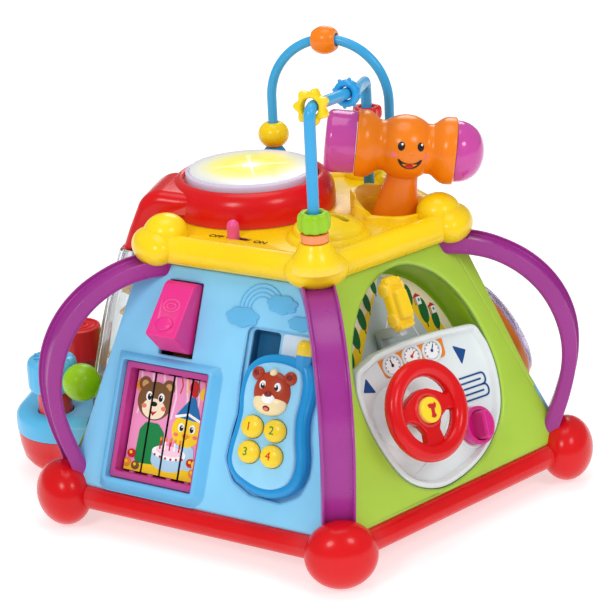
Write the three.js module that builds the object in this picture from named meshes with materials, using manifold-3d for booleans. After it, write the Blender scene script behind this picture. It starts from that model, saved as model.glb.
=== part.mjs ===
import * as THREE from 'three';
import Module from 'manifold-3d';
import { mergeVertices } from 'three/addons/utils/BufferGeometryUtils.js';

const wasm = await Module();
wasm.setup();

// Driving dimensions, millimetres. Origin: centre of the pentagon, on the floor. +Z up.
const D = Math.PI / 180;
const BASE_SIDE = 200;
const CORNER_R = BASE_SIDE / (2 * Math.sin(36 * D));
const BALL = { z: 21.5, radial: 17, tangent: 22, vertical: 21 };
const TUBE_R = 7.25;
const PANEL = { bottomApothem: 138.5, bottomZ: 27.4, tilt: 23.69 * D, thick: 3, v0: 3, v1: 147.5, seam: 0.2 };
const LOBE = { r: 98.3, z: 172.7, radial: 13, tangent: 19.5, vertical: 12 };
const CAP = { r: 90, z: 180, side: 14, height: 12 };
const RIM = { apothem: 79.5, z: 172, r: 9 };
const DECK = { apothem: 79, bottom: 163, under: 173, top: 177 };
const DETAIL = 0.56;
const HANDLE = { half: 10, grooveHalf: 8.4, groove: 3 };
const DRUM = { x: -27, y: 26, foot: 54, open: 43.3, headR: 41.2, headTop: 203 };
const WIRE_FRONT_R = 3.5;
const WIRE_REAR_R = 3.2;
const BORE_GAP = 0.45;
const GAP = 0.35;
const FACE = { phone: -36, driving: 36, spinner: 108, back: 180, track: -108 };
const HAMMER = { x: 69.7, y: -10, z: 218 };
const HAMMER_UP = new THREE.Vector3(0.197, -0.0297, 0.98).normalize();
const HAMMER_HEAD = new THREE.Vector3(0.982, -0.148, -0.124).normalize();
const PEGS = { apothem: 165, spread: 29, top: 84, deckTop: 46 };

const COLORS = {
  red: 0xe61a1f, blue: 0x8cd0f5, midBlue: 0x1e9cdc, green: 0xb5da55, yellow: 0xfbd70c, purple: 0xa33a94,
  pink: 0xe63791, orange: 0xf08010, clear: 0xdfe8ee, white: 0xe6efee, dark: 0x2b2f33, boardGreen: 0x1f6b3a,
  lime: 0xa0d219, violet: 0xb4308f,
};

function material(color, roughness = 0.35, metalness = 0) {
  return new THREE.MeshStandardMaterial({ color: COLORS[color], roughness, metalness });
}

// ---- solids ----
function ring(count) {
  return count <= 6 ? count : Math.max(6, Math.round(count * DETAIL));
}

function signedVolume(position, index) {
  let total = 0;
  for (let i = 0; i < index.length; i += 3) {
    const a = index[i] * 3;
    const b = index[i + 1] * 3;
    const c = index[i + 2] * 3;
    const cross = [
      position[b + 1] * position[c + 2] - position[b + 2] * position[c + 1],
      position[b + 2] * position[c] - position[b] * position[c + 2],
      position[b] * position[c + 1] - position[b + 1] * position[c],
    ];
    total += position[a] * cross[0] + position[a + 1] * cross[1] + position[a + 2] * cross[2];
  }
  return total / 6;
}

function solid(geometry, matrix) {
  let g = geometry.clone();
  g.deleteAttribute('normal');
  g.deleteAttribute('uv');
  if (matrix) g.applyMatrix4(matrix);
  g = mergeVertices(g, 1e-4);
  const position = new Float32Array(g.attributes.position.array);
  const index = new Uint32Array(g.index.array);
  if (signedVolume(position, index) < 0) {
    for (let i = 0; i < index.length; i += 3) {
      const swap = index[i + 1];
      index[i + 1] = index[i + 2];
      index[i + 2] = swap;
    }
  }
  return new wasm.Manifold(new wasm.Mesh({ numProp: 3, vertProperties: position, triVerts: index }));
}

function at(x, y, z) {
  return new THREE.Matrix4().makeTranslation(x, y, z);
}

function chain(...matrices) {
  const result = new THREE.Matrix4();
  for (const m of matrices) result.multiply(m);
  return result;
}

function axes(origin, xAxis, yAxis, zAxis) {
  return new THREE.Matrix4().makeBasis(xAxis, yAxis, zAxis).setPosition(origin);
}

function box(x0, x1, y0, y1, z0, z1, matrix = new THREE.Matrix4()) {
  const g = new THREE.BoxGeometry(x1 - x0, y1 - y0, z1 - z0);
  return solid(g, chain(matrix, at((x0 + x1) / 2, (y0 + y1) / 2, (z0 + z1) / 2)));
}

function cone(r0, r1, z0, z1, segments, matrix = new THREE.Matrix4()) {
  const g = new THREE.CylinderGeometry(r1, r0, z1 - z0, ring(segments));
  g.rotateX(Math.PI / 2);
  return solid(g, chain(matrix, at(0, 0, (z0 + z1) / 2)));
}

function drumLike(r, z0, z1, segments, matrix) {
  return cone(r, r, z0, z1, segments, matrix);
}

function ellipsoid(sx, sy, sz, around, up, matrix = new THREE.Matrix4()) {
  const g = new THREE.SphereGeometry(1, ring(around), ring(up));
  g.rotateX(Math.PI / 2);
  g.scale(sx, sy, sz);
  return solid(g, matrix);
}

function lathe(profile, segments, matrix = new THREE.Matrix4()) {
  const points = profile.map(([r, z]) => new THREE.Vector2(r, z));
  const g = new THREE.LatheGeometry(points, ring(segments));
  g.rotateX(Math.PI / 2);
  return solid(g, matrix);
}

// A contour carried through stations; each station places a contour point in space.
function loft(contour, stations) {
  const n = contour.length;
  const position = [];
  for (const place of stations) {
    for (const [x, y] of contour) {
      const p = place(x, y);
      position.push(p.x, p.y, p.z);
    }
  }
  const index = [];
  for (let s = 0; s + 1 < stations.length; s += 1) {
    for (let i = 0; i < n; i += 1) {
      const j = (i + 1) % n;
      const a = s * n + i;
      const b = s * n + j;
      index.push(a, b, b + n, a, b + n, a + n);
    }
  }
  const flat = contour.map(([x, y]) => new THREE.Vector2(x, y));
  const last = (stations.length - 1) * n;
  const area = THREE.ShapeUtils.area(flat);
  for (const [a, b, c] of THREE.ShapeUtils.triangulateShape(flat, [])) {
    if (area > 0) {
      index.push(a, c, b, last + a, last + b, last + c);
    } else {
      index.push(a, b, c, last + a, last + c, last + b);
    }
  }
  const g = new THREE.BufferGeometry();
  g.setAttribute('position', new THREE.Float32BufferAttribute(position, 3));
  g.setIndex(index);
  return solid(g);
}

function prism(contour, z0, z1, matrix = new THREE.Matrix4()) {
  const place = (z) => (x, y) => new THREE.Vector3(x, y, z).applyMatrix4(matrix);
  return loft(contour, [place(z0), place(z1)]);
}

function circle(r, segments, phase = 0) {
  const points = [];
  const count = ring(segments);
  for (let i = 0; i < count; i += 1) {
    const a = (2 * Math.PI * i) / count + phase;
    points.push([r * Math.cos(a), r * Math.sin(a)]);
  }
  return points;
}

function smoothLoop(points, samples) {
  const curve = new THREE.CatmullRomCurve3(points.map(([x, y]) => new THREE.Vector3(x, y, 0)), true, 'centripetal');
  return curve.getSpacedPoints(samples).slice(0, samples).map((p) => [p.x, p.y]);
}

function grow(contour, amount) {
  const n = contour.length;
  const turn = THREE.ShapeUtils.area(contour.map(([x, y]) => new THREE.Vector2(x, y))) > 0 ? 1 : -1;
  return contour.map(([x, y], i) => {
    const [px, py] = contour[(i + n - 1) % n];
    const [qx, qy] = contour[(i + 1) % n];
    const length = Math.hypot(qx - px, qy - py);
    return [x + (turn * amount * (qy - py)) / length, y - (turn * amount * (qx - px)) / length];
  });
}

function roundedRect(x0, x1, y0, y1, r, steps = 4) {
  const points = [];
  const corners = [[x1 - r, y1 - r, 0], [x0 + r, y1 - r, 90], [x0 + r, y0 + r, 180], [x1 - r, y0 + r, 270]];
  for (const [cx, cy, start] of corners) {
    for (let i = 0; i <= steps; i += 1) {
      const a = (start + (90 * i) / steps) * D;
      points.push([cx + r * Math.cos(a), cy + r * Math.sin(a)]);
    }
  }
  return points;
}

// ---- frames of the object ----
function cornerFrame(azimuth, radius, z) {
  const out = new THREE.Vector3(Math.sin(azimuth * D), -Math.cos(azimuth * D), 0);
  const side = new THREE.Vector3(Math.cos(azimuth * D), Math.sin(azimuth * D), 0);
  const origin = out.clone().multiplyScalar(radius).setZ(z);
  return axes(origin, out, side, new THREE.Vector3(0, 0, 1));
}

function radialPoint(azimuth, r, side, z) {
  return new THREE.Vector3(
    r * Math.sin(azimuth * D) + side * Math.cos(azimuth * D),
    -r * Math.cos(azimuth * D) + side * Math.sin(azimuth * D),
    z,
  );
}

function faceFrame(azimuth) {
  const out = new THREE.Vector3(Math.sin(azimuth * D), -Math.cos(azimuth * D), 0);
  const along = new THREE.Vector3(Math.cos(azimuth * D), Math.sin(azimuth * D), 0);
  const up = out.clone().multiplyScalar(-Math.sin(PANEL.tilt)).setZ(Math.cos(PANEL.tilt));
  const normal = out.clone().multiplyScalar(Math.cos(PANEL.tilt)).setZ(Math.sin(PANEL.tilt));
  const origin = out.clone().multiplyScalar(PANEL.bottomApothem).setZ(PANEL.bottomZ);
  return axes(origin, along, up, normal);
}

const CORNERS = [['front', 0], ['left', -72], ['right', 72], ['back_left', -144], ['back_right', 144]];

// ---- pieces shared by several cuts ----
function handleSolid(azimuth, extra) {
  const outer = new THREE.CatmullRomCurve3([
    [86, 165.5], [100, 165.8], [113, 165], [128, 161], [145.5, 152.5], [160, 140], [170.5, 124], [176.3, 105],
    [176.8, 84], [172.8, 62], [167, 42], [165, 34],
  ].map(([r, z]) => new THREE.Vector3(r, 0, z)));
  const inner = new THREE.CatmullRomCurve3([
    [86, 153], [98, 154.4], [110, 154.2], [125, 151], [140, 143.2], [153, 131], [162.2, 115], [167, 97],
    [166.8, 79], [162, 59], [156, 41.5], [154, 34],
  ].map(([r, z]) => new THREE.Vector3(r, 0, z)));
  const half = HANDLE.half + extra;
  const groove = extra > 0 ? 0 : HANDLE.groove;
  const g = HANDLE.grooveHalf;
  const contour = groove > 0
    ? [[-half, 0], [half, 0], [half, 1], [g, 1], [g - 1, 0.72], [1 - g, 0.72], [-g, 1], [-half, 1]]
    : [[-half, 0], [half, 0], [half, 1], [-half, 1]];
  const stations = [];
  const count = 12;
  for (let i = 0; i < count; i += 1) {
    const t = i / (count - 1);
    const a = inner.getPoint(t);
    const b = outer.getPoint(t);
    const d = b.clone().sub(a).normalize().multiplyScalar(extra);
    const from = a.clone().sub(d);
    const to = b.clone().add(d);
    stations.push((s, q) => {
      const p = from.clone().lerp(to, q);
      return radialPoint(azimuth, p.x, s, p.z);
    });
  }
  return loft(contour, stations);
}

function ballSolid(azimuth, extra) {
  return ellipsoid(
    BALL.radial + extra, BALL.tangent + extra, BALL.vertical + extra, 16, 10,
    cornerFrame(azimuth, CORNER_R, BALL.z),
  );
}

function lobeSolid(azimuth, extra) {
  return ellipsoid(
    LOBE.radial + extra, LOBE.tangent + extra, LOBE.vertical + extra, 16, 8,
    cornerFrame(azimuth, LOBE.r, LOBE.z),
  );
}

function pathTube(points, r, segments, taper = 0) {
  const stations = [];
  let normal = null;
  for (let i = 0; i < points.length; i += 1) {
    const before = points[Math.max(0, i - 1)];
    const after = points[Math.min(points.length - 1, i + 1)];
    const tangent = after.clone().sub(before).normalize();
    if (normal === null) {
      const helper = Math.abs(tangent.z) > 0.9 ? new THREE.Vector3(1, 0, 0) : new THREE.Vector3(0, 0, 1);
      normal = helper.clone().cross(tangent).normalize();
    } else {
      normal = normal.clone().addScaledVector(tangent, -normal.dot(tangent)).normalize();
    }
    const binormal = tangent.clone().cross(normal);
    const n = normal.clone();
    const p = points[i].clone();
    stations.push((x, y) => p.clone().addScaledVector(n, x).addScaledVector(binormal, y));
  }
  return loft(circle(r - taper, segments), stations);
}

function roundedPath(corners, radii, steps) {
  const points = [corners[0].clone()];
  for (let i = 1; i + 1 < corners.length; i += 1) {
    const a = corners[i - 1].clone().sub(corners[i]).normalize();
    const b = corners[i + 1].clone().sub(corners[i]).normalize();
    const radius = radii[i - 1];
    const start = corners[i].clone().addScaledVector(a, radius);
    const end = corners[i].clone().addScaledVector(b, radius);
    const bend = new THREE.QuadraticBezierCurve3(start, corners[i].clone(), end);
    for (let s = 0; s <= steps; s += 1) points.push(bend.getPoint(s / steps));
  }
  points.push(corners[corners.length - 1].clone());
  return points;
}

// ---- front wire, rear wire ----
const FRONT_FOOT = new THREE.Vector3(0, -98, 180);
const FRONT_TOP = new THREE.Vector3(0, -98, 271);
const FRONT_TURN = new THREE.Vector3(35, -39, 264.5);
const FRONT_END = new THREE.Vector3(49.6, 28, 253);
const FRONT_DOWN = new THREE.Vector3(49.6, 28, 174);
const REAR_A = new THREE.Vector3(-6.6, 84.2, 170);
const REAR_B = new THREE.Vector3(67.4, 50, 170);
const REAR_SPRING_Z = 232;

function frontWirePoints() {
  return roundedPath([FRONT_FOOT, FRONT_TOP, FRONT_TURN, FRONT_END, FRONT_DOWN], [8, 8, 9], 5);
}

function rearWirePoints() {
  const middle = REAR_A.clone().add(REAR_B).multiplyScalar(0.5).setZ(REAR_SPRING_Z);
  const reach = REAR_B.clone().sub(REAR_A);
  const half = reach.length() / 2;
  reach.normalize();
  const points = [REAR_A.clone()];
  for (let i = 0; i <= 14; i += 1) {
    const a = Math.PI - (Math.PI * i) / 14;
    points.push(middle.clone().addScaledVector(reach, half * Math.cos(a)).setZ(REAR_SPRING_Z + half * Math.sin(a)));
  }
  points.push(REAR_B.clone());
  return points;
}

function beadFrame(center, axis) {
  const z = axis.clone().normalize();
  const helper = Math.abs(z.z) > 0.9 ? new THREE.Vector3(1, 0, 0) : new THREE.Vector3(0, 0, 1);
  const x = helper.clone().cross(z).normalize();
  return axes(center, x, z.clone().cross(x), z);
}

function roundBead(r, height, bore, segments, frame) {
  const h = height / 2;
  const profile = [[bore, -h]];
  for (let i = 0; i <= 4; i += 1) {
    const a = (-60 + 30 * i) * D;
    profile.push([bore + (r - bore) * Math.cos(a), (h * Math.sin(a)) / Math.sin(60 * D)]);
  }
  profile.push([bore, h], [bore, -h]);
  return lathe(profile.filter((p, i) => i === 0 || Math.hypot(p[0] - profile[i - 1][0], p[1] - profile[i - 1][1]) > 0.01), segments, frame);
}

function petalBead(r, swing, lobes, thick, bore, frame) {
  const contour = [];
  const count = lobes * 3;
  for (let i = 0; i < count; i += 1) {
    const a = (2 * Math.PI * i) / count;
    const radius = r + swing * Math.cos(lobes * a);
    contour.push([radius * Math.cos(a), radius * Math.sin(a)]);
  }
  const body = prism(contour, -thick / 2, thick / 2, frame);
  return body.subtract(drumLike(bore, -thick, thick, 14, frame));
}

// ---- group ----
const group = new THREE.Group();
group.name = 'activity_cube';

function place(name, body, look) {
  const mesh = body.getMesh();
  const g = new THREE.BufferGeometry();
  g.setAttribute('position', new THREE.Float32BufferAttribute(Array.from(mesh.vertProperties), 3));
  g.setIndex(Array.from(mesh.triVerts));
  g.computeVertexNormals();
  const item = new THREE.Mesh(g, look);
  item.name = name;
  group.add(item);
}

// ---- base ----
function baseFrame() {
  let body = null;
  for (const [, azimuth] of CORNERS) {
    const ball = ballSolid(azimuth, 0);
    body = body ? body.add(ball) : ball;
  }
  for (const azimuth of Object.values(FACE)) {
    const half = CORNER_R * Math.sin(36 * D);
    const apothem = CORNER_R * Math.cos(36 * D);
    const tube = pathTube([radialPoint(azimuth, apothem, -half, BALL.z), radialPoint(azimuth, apothem, half, BALL.z)], TUBE_R, 14);
    body = body.add(tube);
    const a = radialPoint(azimuth, apothem - 4, -half + 16, 14);
    const b = radialPoint(azimuth, apothem - 4, half - 16, 14);
    const ledge = loft([[-14, -1.5], [1, -1.5], [1, 6], [-2, 6], [-2, 1.5], [-14, 1.5]], [a, b].map((p) => (x, y) => {
      const out = new THREE.Vector3(Math.sin(azimuth * D), -Math.cos(azimuth * D), 0);
      return p.clone().addScaledVector(out, x).setZ(p.z + y);
    }));
    body = body.add(ledge);
  }
  return body.subtract(box(-250, 250, -250, 250, -30, 0));
}

function undersideCover() {
  let body = cone(148, 148, 8.5, 12, 5);
  body = body.add(drumLike(36, 0, 9, 28));
  for (const [x, y] of [[-44, 44], [44, 44], [-44, 96], [44, 96]]) {
    body = body.add(drumLike(3.5, 11, 42, 8, at(x, y, 0)));
  }
  body = body.subtract(box(-36, 36, 42, 98, 5, 15));
  return body.subtract(drumLike(30, 3, 20, 24));
}

place('base_frame', baseFrame(), material('red'));
place('underside_cover', undersideCover(), material('red', 0.5));
place('battery_door', box(-35.6, 35.6, 42.4, 97.6, 8.5, 11), material('red', 0.5));
place('battery_pack', prism(roundedRect(-31, 31, 47, 93, 5, 3), 13, 31), material('dark', 0.5));
place('circuit_board', box(-50, 50, 40, 100, 42.4, 44), material('boardGreen', 0.6));

// ---- panels ----
function panelPlate(azimuth) {
  const frame = faceFrame(azimuth);
  const half = (v, w) => {
    const apothem = PANEL.bottomApothem - v * Math.sin(PANEL.tilt) + w * Math.cos(PANEL.tilt);
    return Math.tan(36 * D) * apothem - PANEL.seam;
  };
  const contour = [[-1, PANEL.v0], [1, PANEL.v0], [1, PANEL.v1], [-1, PANEL.v1]];
  const station = (w) => (x, v) => new THREE.Vector3(x * half(v, w), v, w).applyMatrix4(frame);
  return loft(contour, [station(-PANEL.thick), station(0)]);
}

// The space one panel may fill: between the two mitre planes, less a margin.
function wedge(azimuth, margin) {
  const frame = faceFrame(azimuth);
  const contour = [[-1, -20], [1, -20], [1, 160], [-1, 160]];
  const station = (w) => (x, v) => {
    const apothem = PANEL.bottomApothem - v * Math.sin(PANEL.tilt) + w * Math.cos(PANEL.tilt);
    const half = Math.tan(36 * D) * apothem - PANEL.seam - margin;
    return new THREE.Vector3(x * half, v, w).applyMatrix4(frame);
  };
  return loft(contour, [station(-30), station(20)]);
}

function trimPanel(body, azimuth) {
  let result = body;
  for (const corner of [azimuth - 36, azimuth + 36]) {
    result = result.subtract(ballSolid(corner, GAP));
    result = result.subtract(lobeSolid(corner, GAP));
    result = result.subtract(handleSolid(corner, GAP));
  }
  return result;
}

const PHONE_OUTLINE = smoothLoop([
  [19.2, 84], [22, 94], [28.6, 100.4], [39, 103.8], [53, 103.4], [62.6, 100], [66.8, 91], [67.4, 80], [66.4, 68],
  [68, 56], [70.6, 45], [70.4, 35], [66, 25.6], [55.4, 19.4], [45, 18.4], [35, 20.6], [23.6, 26.2], [17.8, 35],
  [17.4, 45], [19, 56], [20, 66], [19, 75],
], 24);

function phonePanel() {
  const frame = faceFrame(FACE.phone);
  let body = panelPlate(FACE.phone);
  const cradle = prism(grow(PHONE_OUTLINE, 4.5), -6.4, -1, frame).add(box(12.4, 65.5, 92, 120, -6.4, -1, frame));
  const pocket = prism(grow(PHONE_OUTLINE, 2), -4, 5, frame).add(box(15.4, 62.5, 88, 117.5, -4, 5, frame));
  body = body.add(cradle.intersect(wedge(FACE.phone, 0)));
  body = body.subtract(pocket.intersect(wedge(FACE.phone, 0.8)));
  body = body.add(box(-71, -1, 7.5, 88, -1, 2.6, frame));
  body = body.subtract(box(-67.5, -4.5, 10.7, 84.4, -10, 10, frame));
  body = body.subtract(box(-44.5, -21.5, 91.4, 137.6, -10, 10, frame));
  return trimPanel(body, FACE.phone);
}

const ROAD_OUTLINE = smoothLoop([
  [13.5, 142], [35, 131], [51, 110], [59, 86], [61, 60], [53.4, 35], [32, 15.5], [4.6, 6.4], [-17, 6.4],
  [-37, 17.5], [-50, 44], [-53.8, 78], [-45, 107], [-26, 131], [-6, 141],
], 26);

function drivingPanel() {
  const frame = faceFrame(FACE.driving);
  let body = panelPlate(FACE.driving);
  body = body.add(prism(grow(ROAD_OUTLINE, 2.6), -25, -1, frame).intersect(wedge(FACE.driving, 0)));
  body = body.subtract(prism(ROAD_OUTLINE, -22.4, 5, frame).intersect(wedge(FACE.driving, 2)));
  body = body.subtract(drumLike(3.6, -30, -20, 12, chain(frame, at(-7, 48, 0))));
  return trimPanel(body, FACE.driving);
}

function spinnerPanel() {
  const frame = faceFrame(FACE.spinner);
  let body = panelPlate(FACE.spinner);
  body = body.subtract(drumLike(5.6, -10, 10, 16, chain(frame, at(-22, 52, 0))));
  body = body.subtract(drumLike(8.5, -10, 10, 16, chain(frame, at(-28, 108, 0))));
  return trimPanel(body, FACE.spinner);
}

function backPanel() {
  const frame = faceFrame(FACE.back);
  let body = panelPlate(FACE.back);
  for (let i = -2; i <= 2; i += 1) {
    const reach = 20 - 4 * Math.abs(i);
    body = body.subtract(box(-reach, reach, 73.6 + i * 8, 76.4 + i * 8, -10, 10, frame));
  }
  return trimPanel(body, FACE.back);
}

function trackPanel() {
  const frame = faceFrame(FACE.track);
  let body = panelPlate(FACE.track);
  const ledges = [[34, 7, 8], [58, 13, -8], [82, 17, 8], [106, 19, -8]];
  for (const [v, reach, turn] of ledges) {
    const tilt = new THREE.Matrix4().makeRotationZ(turn * D);
    body = body.add(box(-19, 19, -1.5, 1.5, -1, reach, chain(frame, at(turn > 0 ? -4 : 4, v, 0), tilt)));
  }
  body = body.subtract(drumLike(5.2, -10, 10, 16, chain(frame, at(50, 44, 0))));
  return trimPanel(body, FACE.track);
}

place('panel_phone', phonePanel(), material('blue'));
place('panel_driving', drivingPanel(), material('green'));
place('panel_spinner', spinnerPanel(), material('blue'));
place('panel_back', backPanel(), material('yellow'));
place('panel_track', trackPanel(), material('green'));
place('speaker', lathe([[0, -14], [17, -14], [20, -9], [27, -4], [27, -3.6], [0, -3.6]], 20,
  chain(faceFrame(FACE.back), at(0, 75, 0))), material('dark', 0.5));

// ---- handles ----
for (const [name, azimuth] of CORNERS) {
  let body = handleSolid(azimuth, 0);
  body = body.subtract(ballSolid(azimuth, GAP));
  place(`handle_${name}`, body, material('purple'));
}

// ---- top deck ----
function hammerStation(distance, wide, thick) {
  const across = HAMMER_HEAD.clone().addScaledVector(HAMMER_UP, -HAMMER_HEAD.dot(HAMMER_UP)).normalize();
  const depth = HAMMER_UP.clone().cross(across);
  const p = new THREE.Vector3(HAMMER.x, HAMMER.y, HAMMER.z).addScaledVector(HAMMER_UP, -distance);
  return (x, y) => p.clone().addScaledVector(across, x * wide).addScaledVector(depth, y * thick);
}

const WELL = new THREE.Vector3(HAMMER.x, HAMMER.y, HAMMER.z).addScaledVector(HAMMER_UP, -(HAMMER.z - 174) / HAMMER_UP.z);

function topDeck() {
  let body = cone(DECK.apothem / Math.cos(36 * D), DECK.apothem / Math.cos(36 * D), DECK.bottom, DECK.top, 5);
  body = body.subtract(cone(91, 91, DECK.bottom - 5, DECK.under, 5));
  for (const azimuth of Object.values(FACE)) {
    const half = LOBE.r * Math.sin(36 * D);
    body = body.add(pathTube([radialPoint(azimuth, RIM.apothem, -half, RIM.z), radialPoint(azimuth, RIM.apothem, half, RIM.z)], RIM.r, 16));
  }
  for (const [name, azimuth] of CORNERS) {
    body = body.add(lobeSolid(azimuth, 0));
    if (name === 'front') continue;
    const side = name === 'back_left' ? 0.75 : 1;
    body = body.add(ellipsoid(CAP.side * side, CAP.side, CAP.height, 14, 8, cornerFrame(azimuth, CAP.r + (1 - side) * 20, CAP.z)));
  }
  body = body.add(cone(13.5, 8.2, 178, 190, 18, at(0, -98, 0)));
  body = body.add(lathe([[0, 174], [26.4, 174], [26, 178.6], [23, 181.4], [21.4, 185], [13, 188.6], [0, 190]], 22, at(13, -52, 0)));
  body = body.subtract(box(-7, 7, -1.9, 1.9, 178, 200, chain(at(20, -54, 0), new THREE.Matrix4().makeRotationZ(-50 * D))));
  const petals = [];
  for (let i = 0; i < 24; i += 1) {
    const a = (2 * Math.PI * i) / 24;
    const r = 26.6 + 1.5 * Math.cos(8 * a);
    petals.push([r * Math.cos(a), r * Math.sin(a)]);
  }
  body = body.add(prism(petals, 174, 180.5, at(WELL.x, WELL.y, 0)));
  body = body.add(drumLike(26, 163.2, 175, 24, at(WELL.x, WELL.y, 0)));
  const oval = circle(1, 18);
  body = body.add(loft(oval, [hammerStation(52, 18.2, 14), hammerStation(103, 18.2, 14)]));
  body = body.subtract(drumLike(23.6, 165.6, 190, 24, at(WELL.x, WELL.y, 0)));
  body = body.subtract(loft(oval, [hammerStation(40, 15.6, 11.4), hammerStation(100, 15.6, 11.4)]));
  for (const foot of [REAR_A, REAR_B]) {
    body = body.add(cone(8.5, 6.6, 170, 182, 14, at(foot.x, foot.y, 0)));
    body = body.subtract(drumLike(WIRE_REAR_R + 0.6, 165, 200, 16, at(foot.x, foot.y, 0)));
  }
  body = body.add(cone(7.5, 6, 174, 181, 14, at(FRONT_DOWN.x, FRONT_DOWN.y, 0)));
  body = body.subtract(drumLike(WIRE_FRONT_R + 0.6, 173.4, 200, 16, at(FRONT_DOWN.x, FRONT_DOWN.y, 0)));
  body = body.subtract(drumLike(WIRE_FRONT_R + 0.6, 179.5, 200, 16, at(0, -98, 0)));
  body = body.subtract(drumLike(DRUM.foot + 0.5, DECK.top, 230, 40, at(DRUM.x, DRUM.y, 0)));
  body = body.subtract(sliderSlot());
  for (const [, azimuth] of CORNERS) body = body.subtract(handleSolid(azimuth, GAP));
  return body;
}

function sliderFrame() {
  const turn = new THREE.Matrix4().makeRotationZ(FACE.phone * D);
  return chain(at(-44.4, -39.2, 0), turn);
}

function sliderSlot() {
  return box(-4.6, 12.6, -2.6, 2.6, 165, 185, sliderFrame());
}

place('top_deck', topDeck(), material('yellow'));
place('power_slider', box(-3.2, 3.2, -2.1, 2.1, 170, 178, sliderFrame()).add(
  ellipsoid(4.4, 4.2, 5.4, 12, 8, chain(sliderFrame(), at(0, 0, 182.9)))), material('pink'));

// ---- drum ----
function drumHousing() {
  const turned = lathe([
    [0, 177.3], [DRUM.foot, 177.3], [53.8, 186], [52.6, 192.4], [50, 197], [46.6, 198.6], [DRUM.open + 0.4, 197.4],
    [DRUM.open, 190], [DRUM.open, 180.2], [0, 180.2],
  ], 40, at(DRUM.x, DRUM.y, 0));
  const chute = [
    [56, 182.3], [56, 193.4], [86, 196.6], [92, 195.8], [96.5, 192], [101, 183], [107, 170.5], [111.5, 159],
    [89.4, 159], [89.4, 172], [86.2, 180.6], [81, 182.3],
  ];
  const rounded = [[-26, 5], [-23.5, 1.6], [-19, 0], [19, 0], [23.5, 1.6], [26, 5]];
  const stations = rounded.map(([side, inset]) => (a, z) => {
    const shrink = a > 82 || z > 190 ? inset * 0.8 : 0;
    const center = [84, 172];
    const reach = Math.hypot(a - center[0], z - center[1]);
    const outerSide = (a > 90 && z > 158.5 && !(z < 159.5 && a < 95)) || z > 190;
    const pull = outerSide ? shrink / reach : 0;
    return radialPoint(FACE.track, a - (a - center[0]) * pull, side, z < 160 ? z : z - (z - center[1]) * pull);
  });
  let body = turned.add(loft(chute, stations));
  return body.subtract(drumLike(DRUM.open, 180.2, 230, 40, at(DRUM.x, DRUM.y, 0)));
}

place('drum_housing', drumHousing(), material('red'));
place('drum_head', lathe([
  [0, 189], [3, 189], [3, 194], [38, 194], [38, 191], [DRUM.headR, 191], [DRUM.headR, 200.8], [40, 202],
  [36, 202.6], [20, 203.3], [0, 203.6],
], 36, at(DRUM.x, DRUM.y, 0)), material('white', 0.3));

// ---- hammer ----
function headFrame() {
  const depth = HAMMER_UP.clone().cross(HAMMER_HEAD).normalize();
  const origin = new THREE.Vector3(HAMMER.x, HAMMER.y, HAMMER.z).addScaledVector(HAMMER_HEAD, -1.2);
  return axes(origin, HAMMER_HEAD.clone().cross(depth).negate(), depth.clone().negate(), HAMMER_HEAD);
}

function hammerBody() {
  const half = [[0, 31], [21, 31], [21.2, 27], [19.6, 22], [16.6, 17.5], [15.8, 15]];
  const profile = [...half];
  for (let i = 1; i < 5; i += 1) {
    const a = (40 + 20 * i) * D;
    profile.push([20.5 * Math.sin(a), 20.5 * Math.cos(a)]);
  }
  const mirrored = half.map(([r, z]) => [r, -z]).reverse();
  let body = lathe([...profile, ...mirrored], 26, headFrame());
  const oval = circle(1, 16);
  body = body.add(loft(oval, [
    hammerStation(12, 9.6, 8), hammerStation(24, 10.4, 8.4), hammerStation(34, 13, 9.4), hammerStation(42, 14.8, 10.6),
    hammerStation(92, 13.6, 9.8), hammerStation(96, 11.5, 8),
  ]));
  return body;
}

place('hammer_body', hammerBody(), material('orange'));
place('hammer_cap', lathe([[0, -31.4], [19.6, -31.4], [19.8, -45], [17.8, -49.2], [14, -50.6], [0, -51]], 26, headFrame()),
  material('violet', 0.2));
place('hammer_dome', lathe([[0, 31.4], [19.4, 31.4], [19.2, 35], [17.2, 40.5], [13, 45.4], [7, 48.4], [0, 49.4]], 26,
  headFrame()), material('violet', 0.2));

// ---- bead wires ----
const run = FRONT_TURN.clone().sub(FRONT_TOP).normalize();
place('front_wire', pathTube(frontWirePoints(), WIRE_FRONT_R, 14), material('midBlue', 0.3));
place('rear_wire', pathTube(rearWirePoints(), WIRE_REAR_R, 14), material('midBlue', 0.3));
const boreFront = WIRE_FRONT_R + BORE_GAP;
const boreRear = WIRE_REAR_R + BORE_GAP;
const up = new THREE.Vector3(0, 0, 1);
place('wire_collar', lathe([[boreFront, 190.4], [8, 190.4], [8.4, 196], [boreFront, 196], [boreFront, 190.4]], 20, at(0, -98, 0)),
  material('orange'));
place('green_bead', petalBead(9.2, 0.7, 8, 12, boreFront, at(0, -98, 202.5)), material('lime'));
place('flower_bead', petalBead(9.8, 1.2, 7, 7.5, boreFront + 0.6,
  beadFrame(FRONT_TOP.clone().addScaledVector(run, 12), run)), material('yellow'));
place('cog_bead', petalBead(8.2, 1.5, 8, 8, boreFront,
  beadFrame(FRONT_TOP.clone().addScaledVector(run, 55), run)), material('midBlue'));
place('red_bead', petalBead(9, 0.9, 5, 9, boreFront,
  at(FRONT_DOWN.x, FRONT_DOWN.y, 232)), material('red'));
place('blue_bead', roundBead(8.7, 15.5, boreRear, 16, at(REAR_A.x, REAR_A.y, 190.4)), material('midBlue'));
place('yellow_bead', roundBead(10.4, 16.4, boreRear, 16, at(REAR_A.x, REAR_A.y, 206.8)), material('yellow'));
const reachDir = REAR_B.clone().sub(REAR_A).normalize();
const archMiddle = REAR_A.clone().add(REAR_B).multiplyScalar(0.5);
const archTop = archMiddle.clone().setZ(REAR_SPRING_Z + REAR_B.clone().sub(REAR_A).length() / 2 - 0.6);
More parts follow.
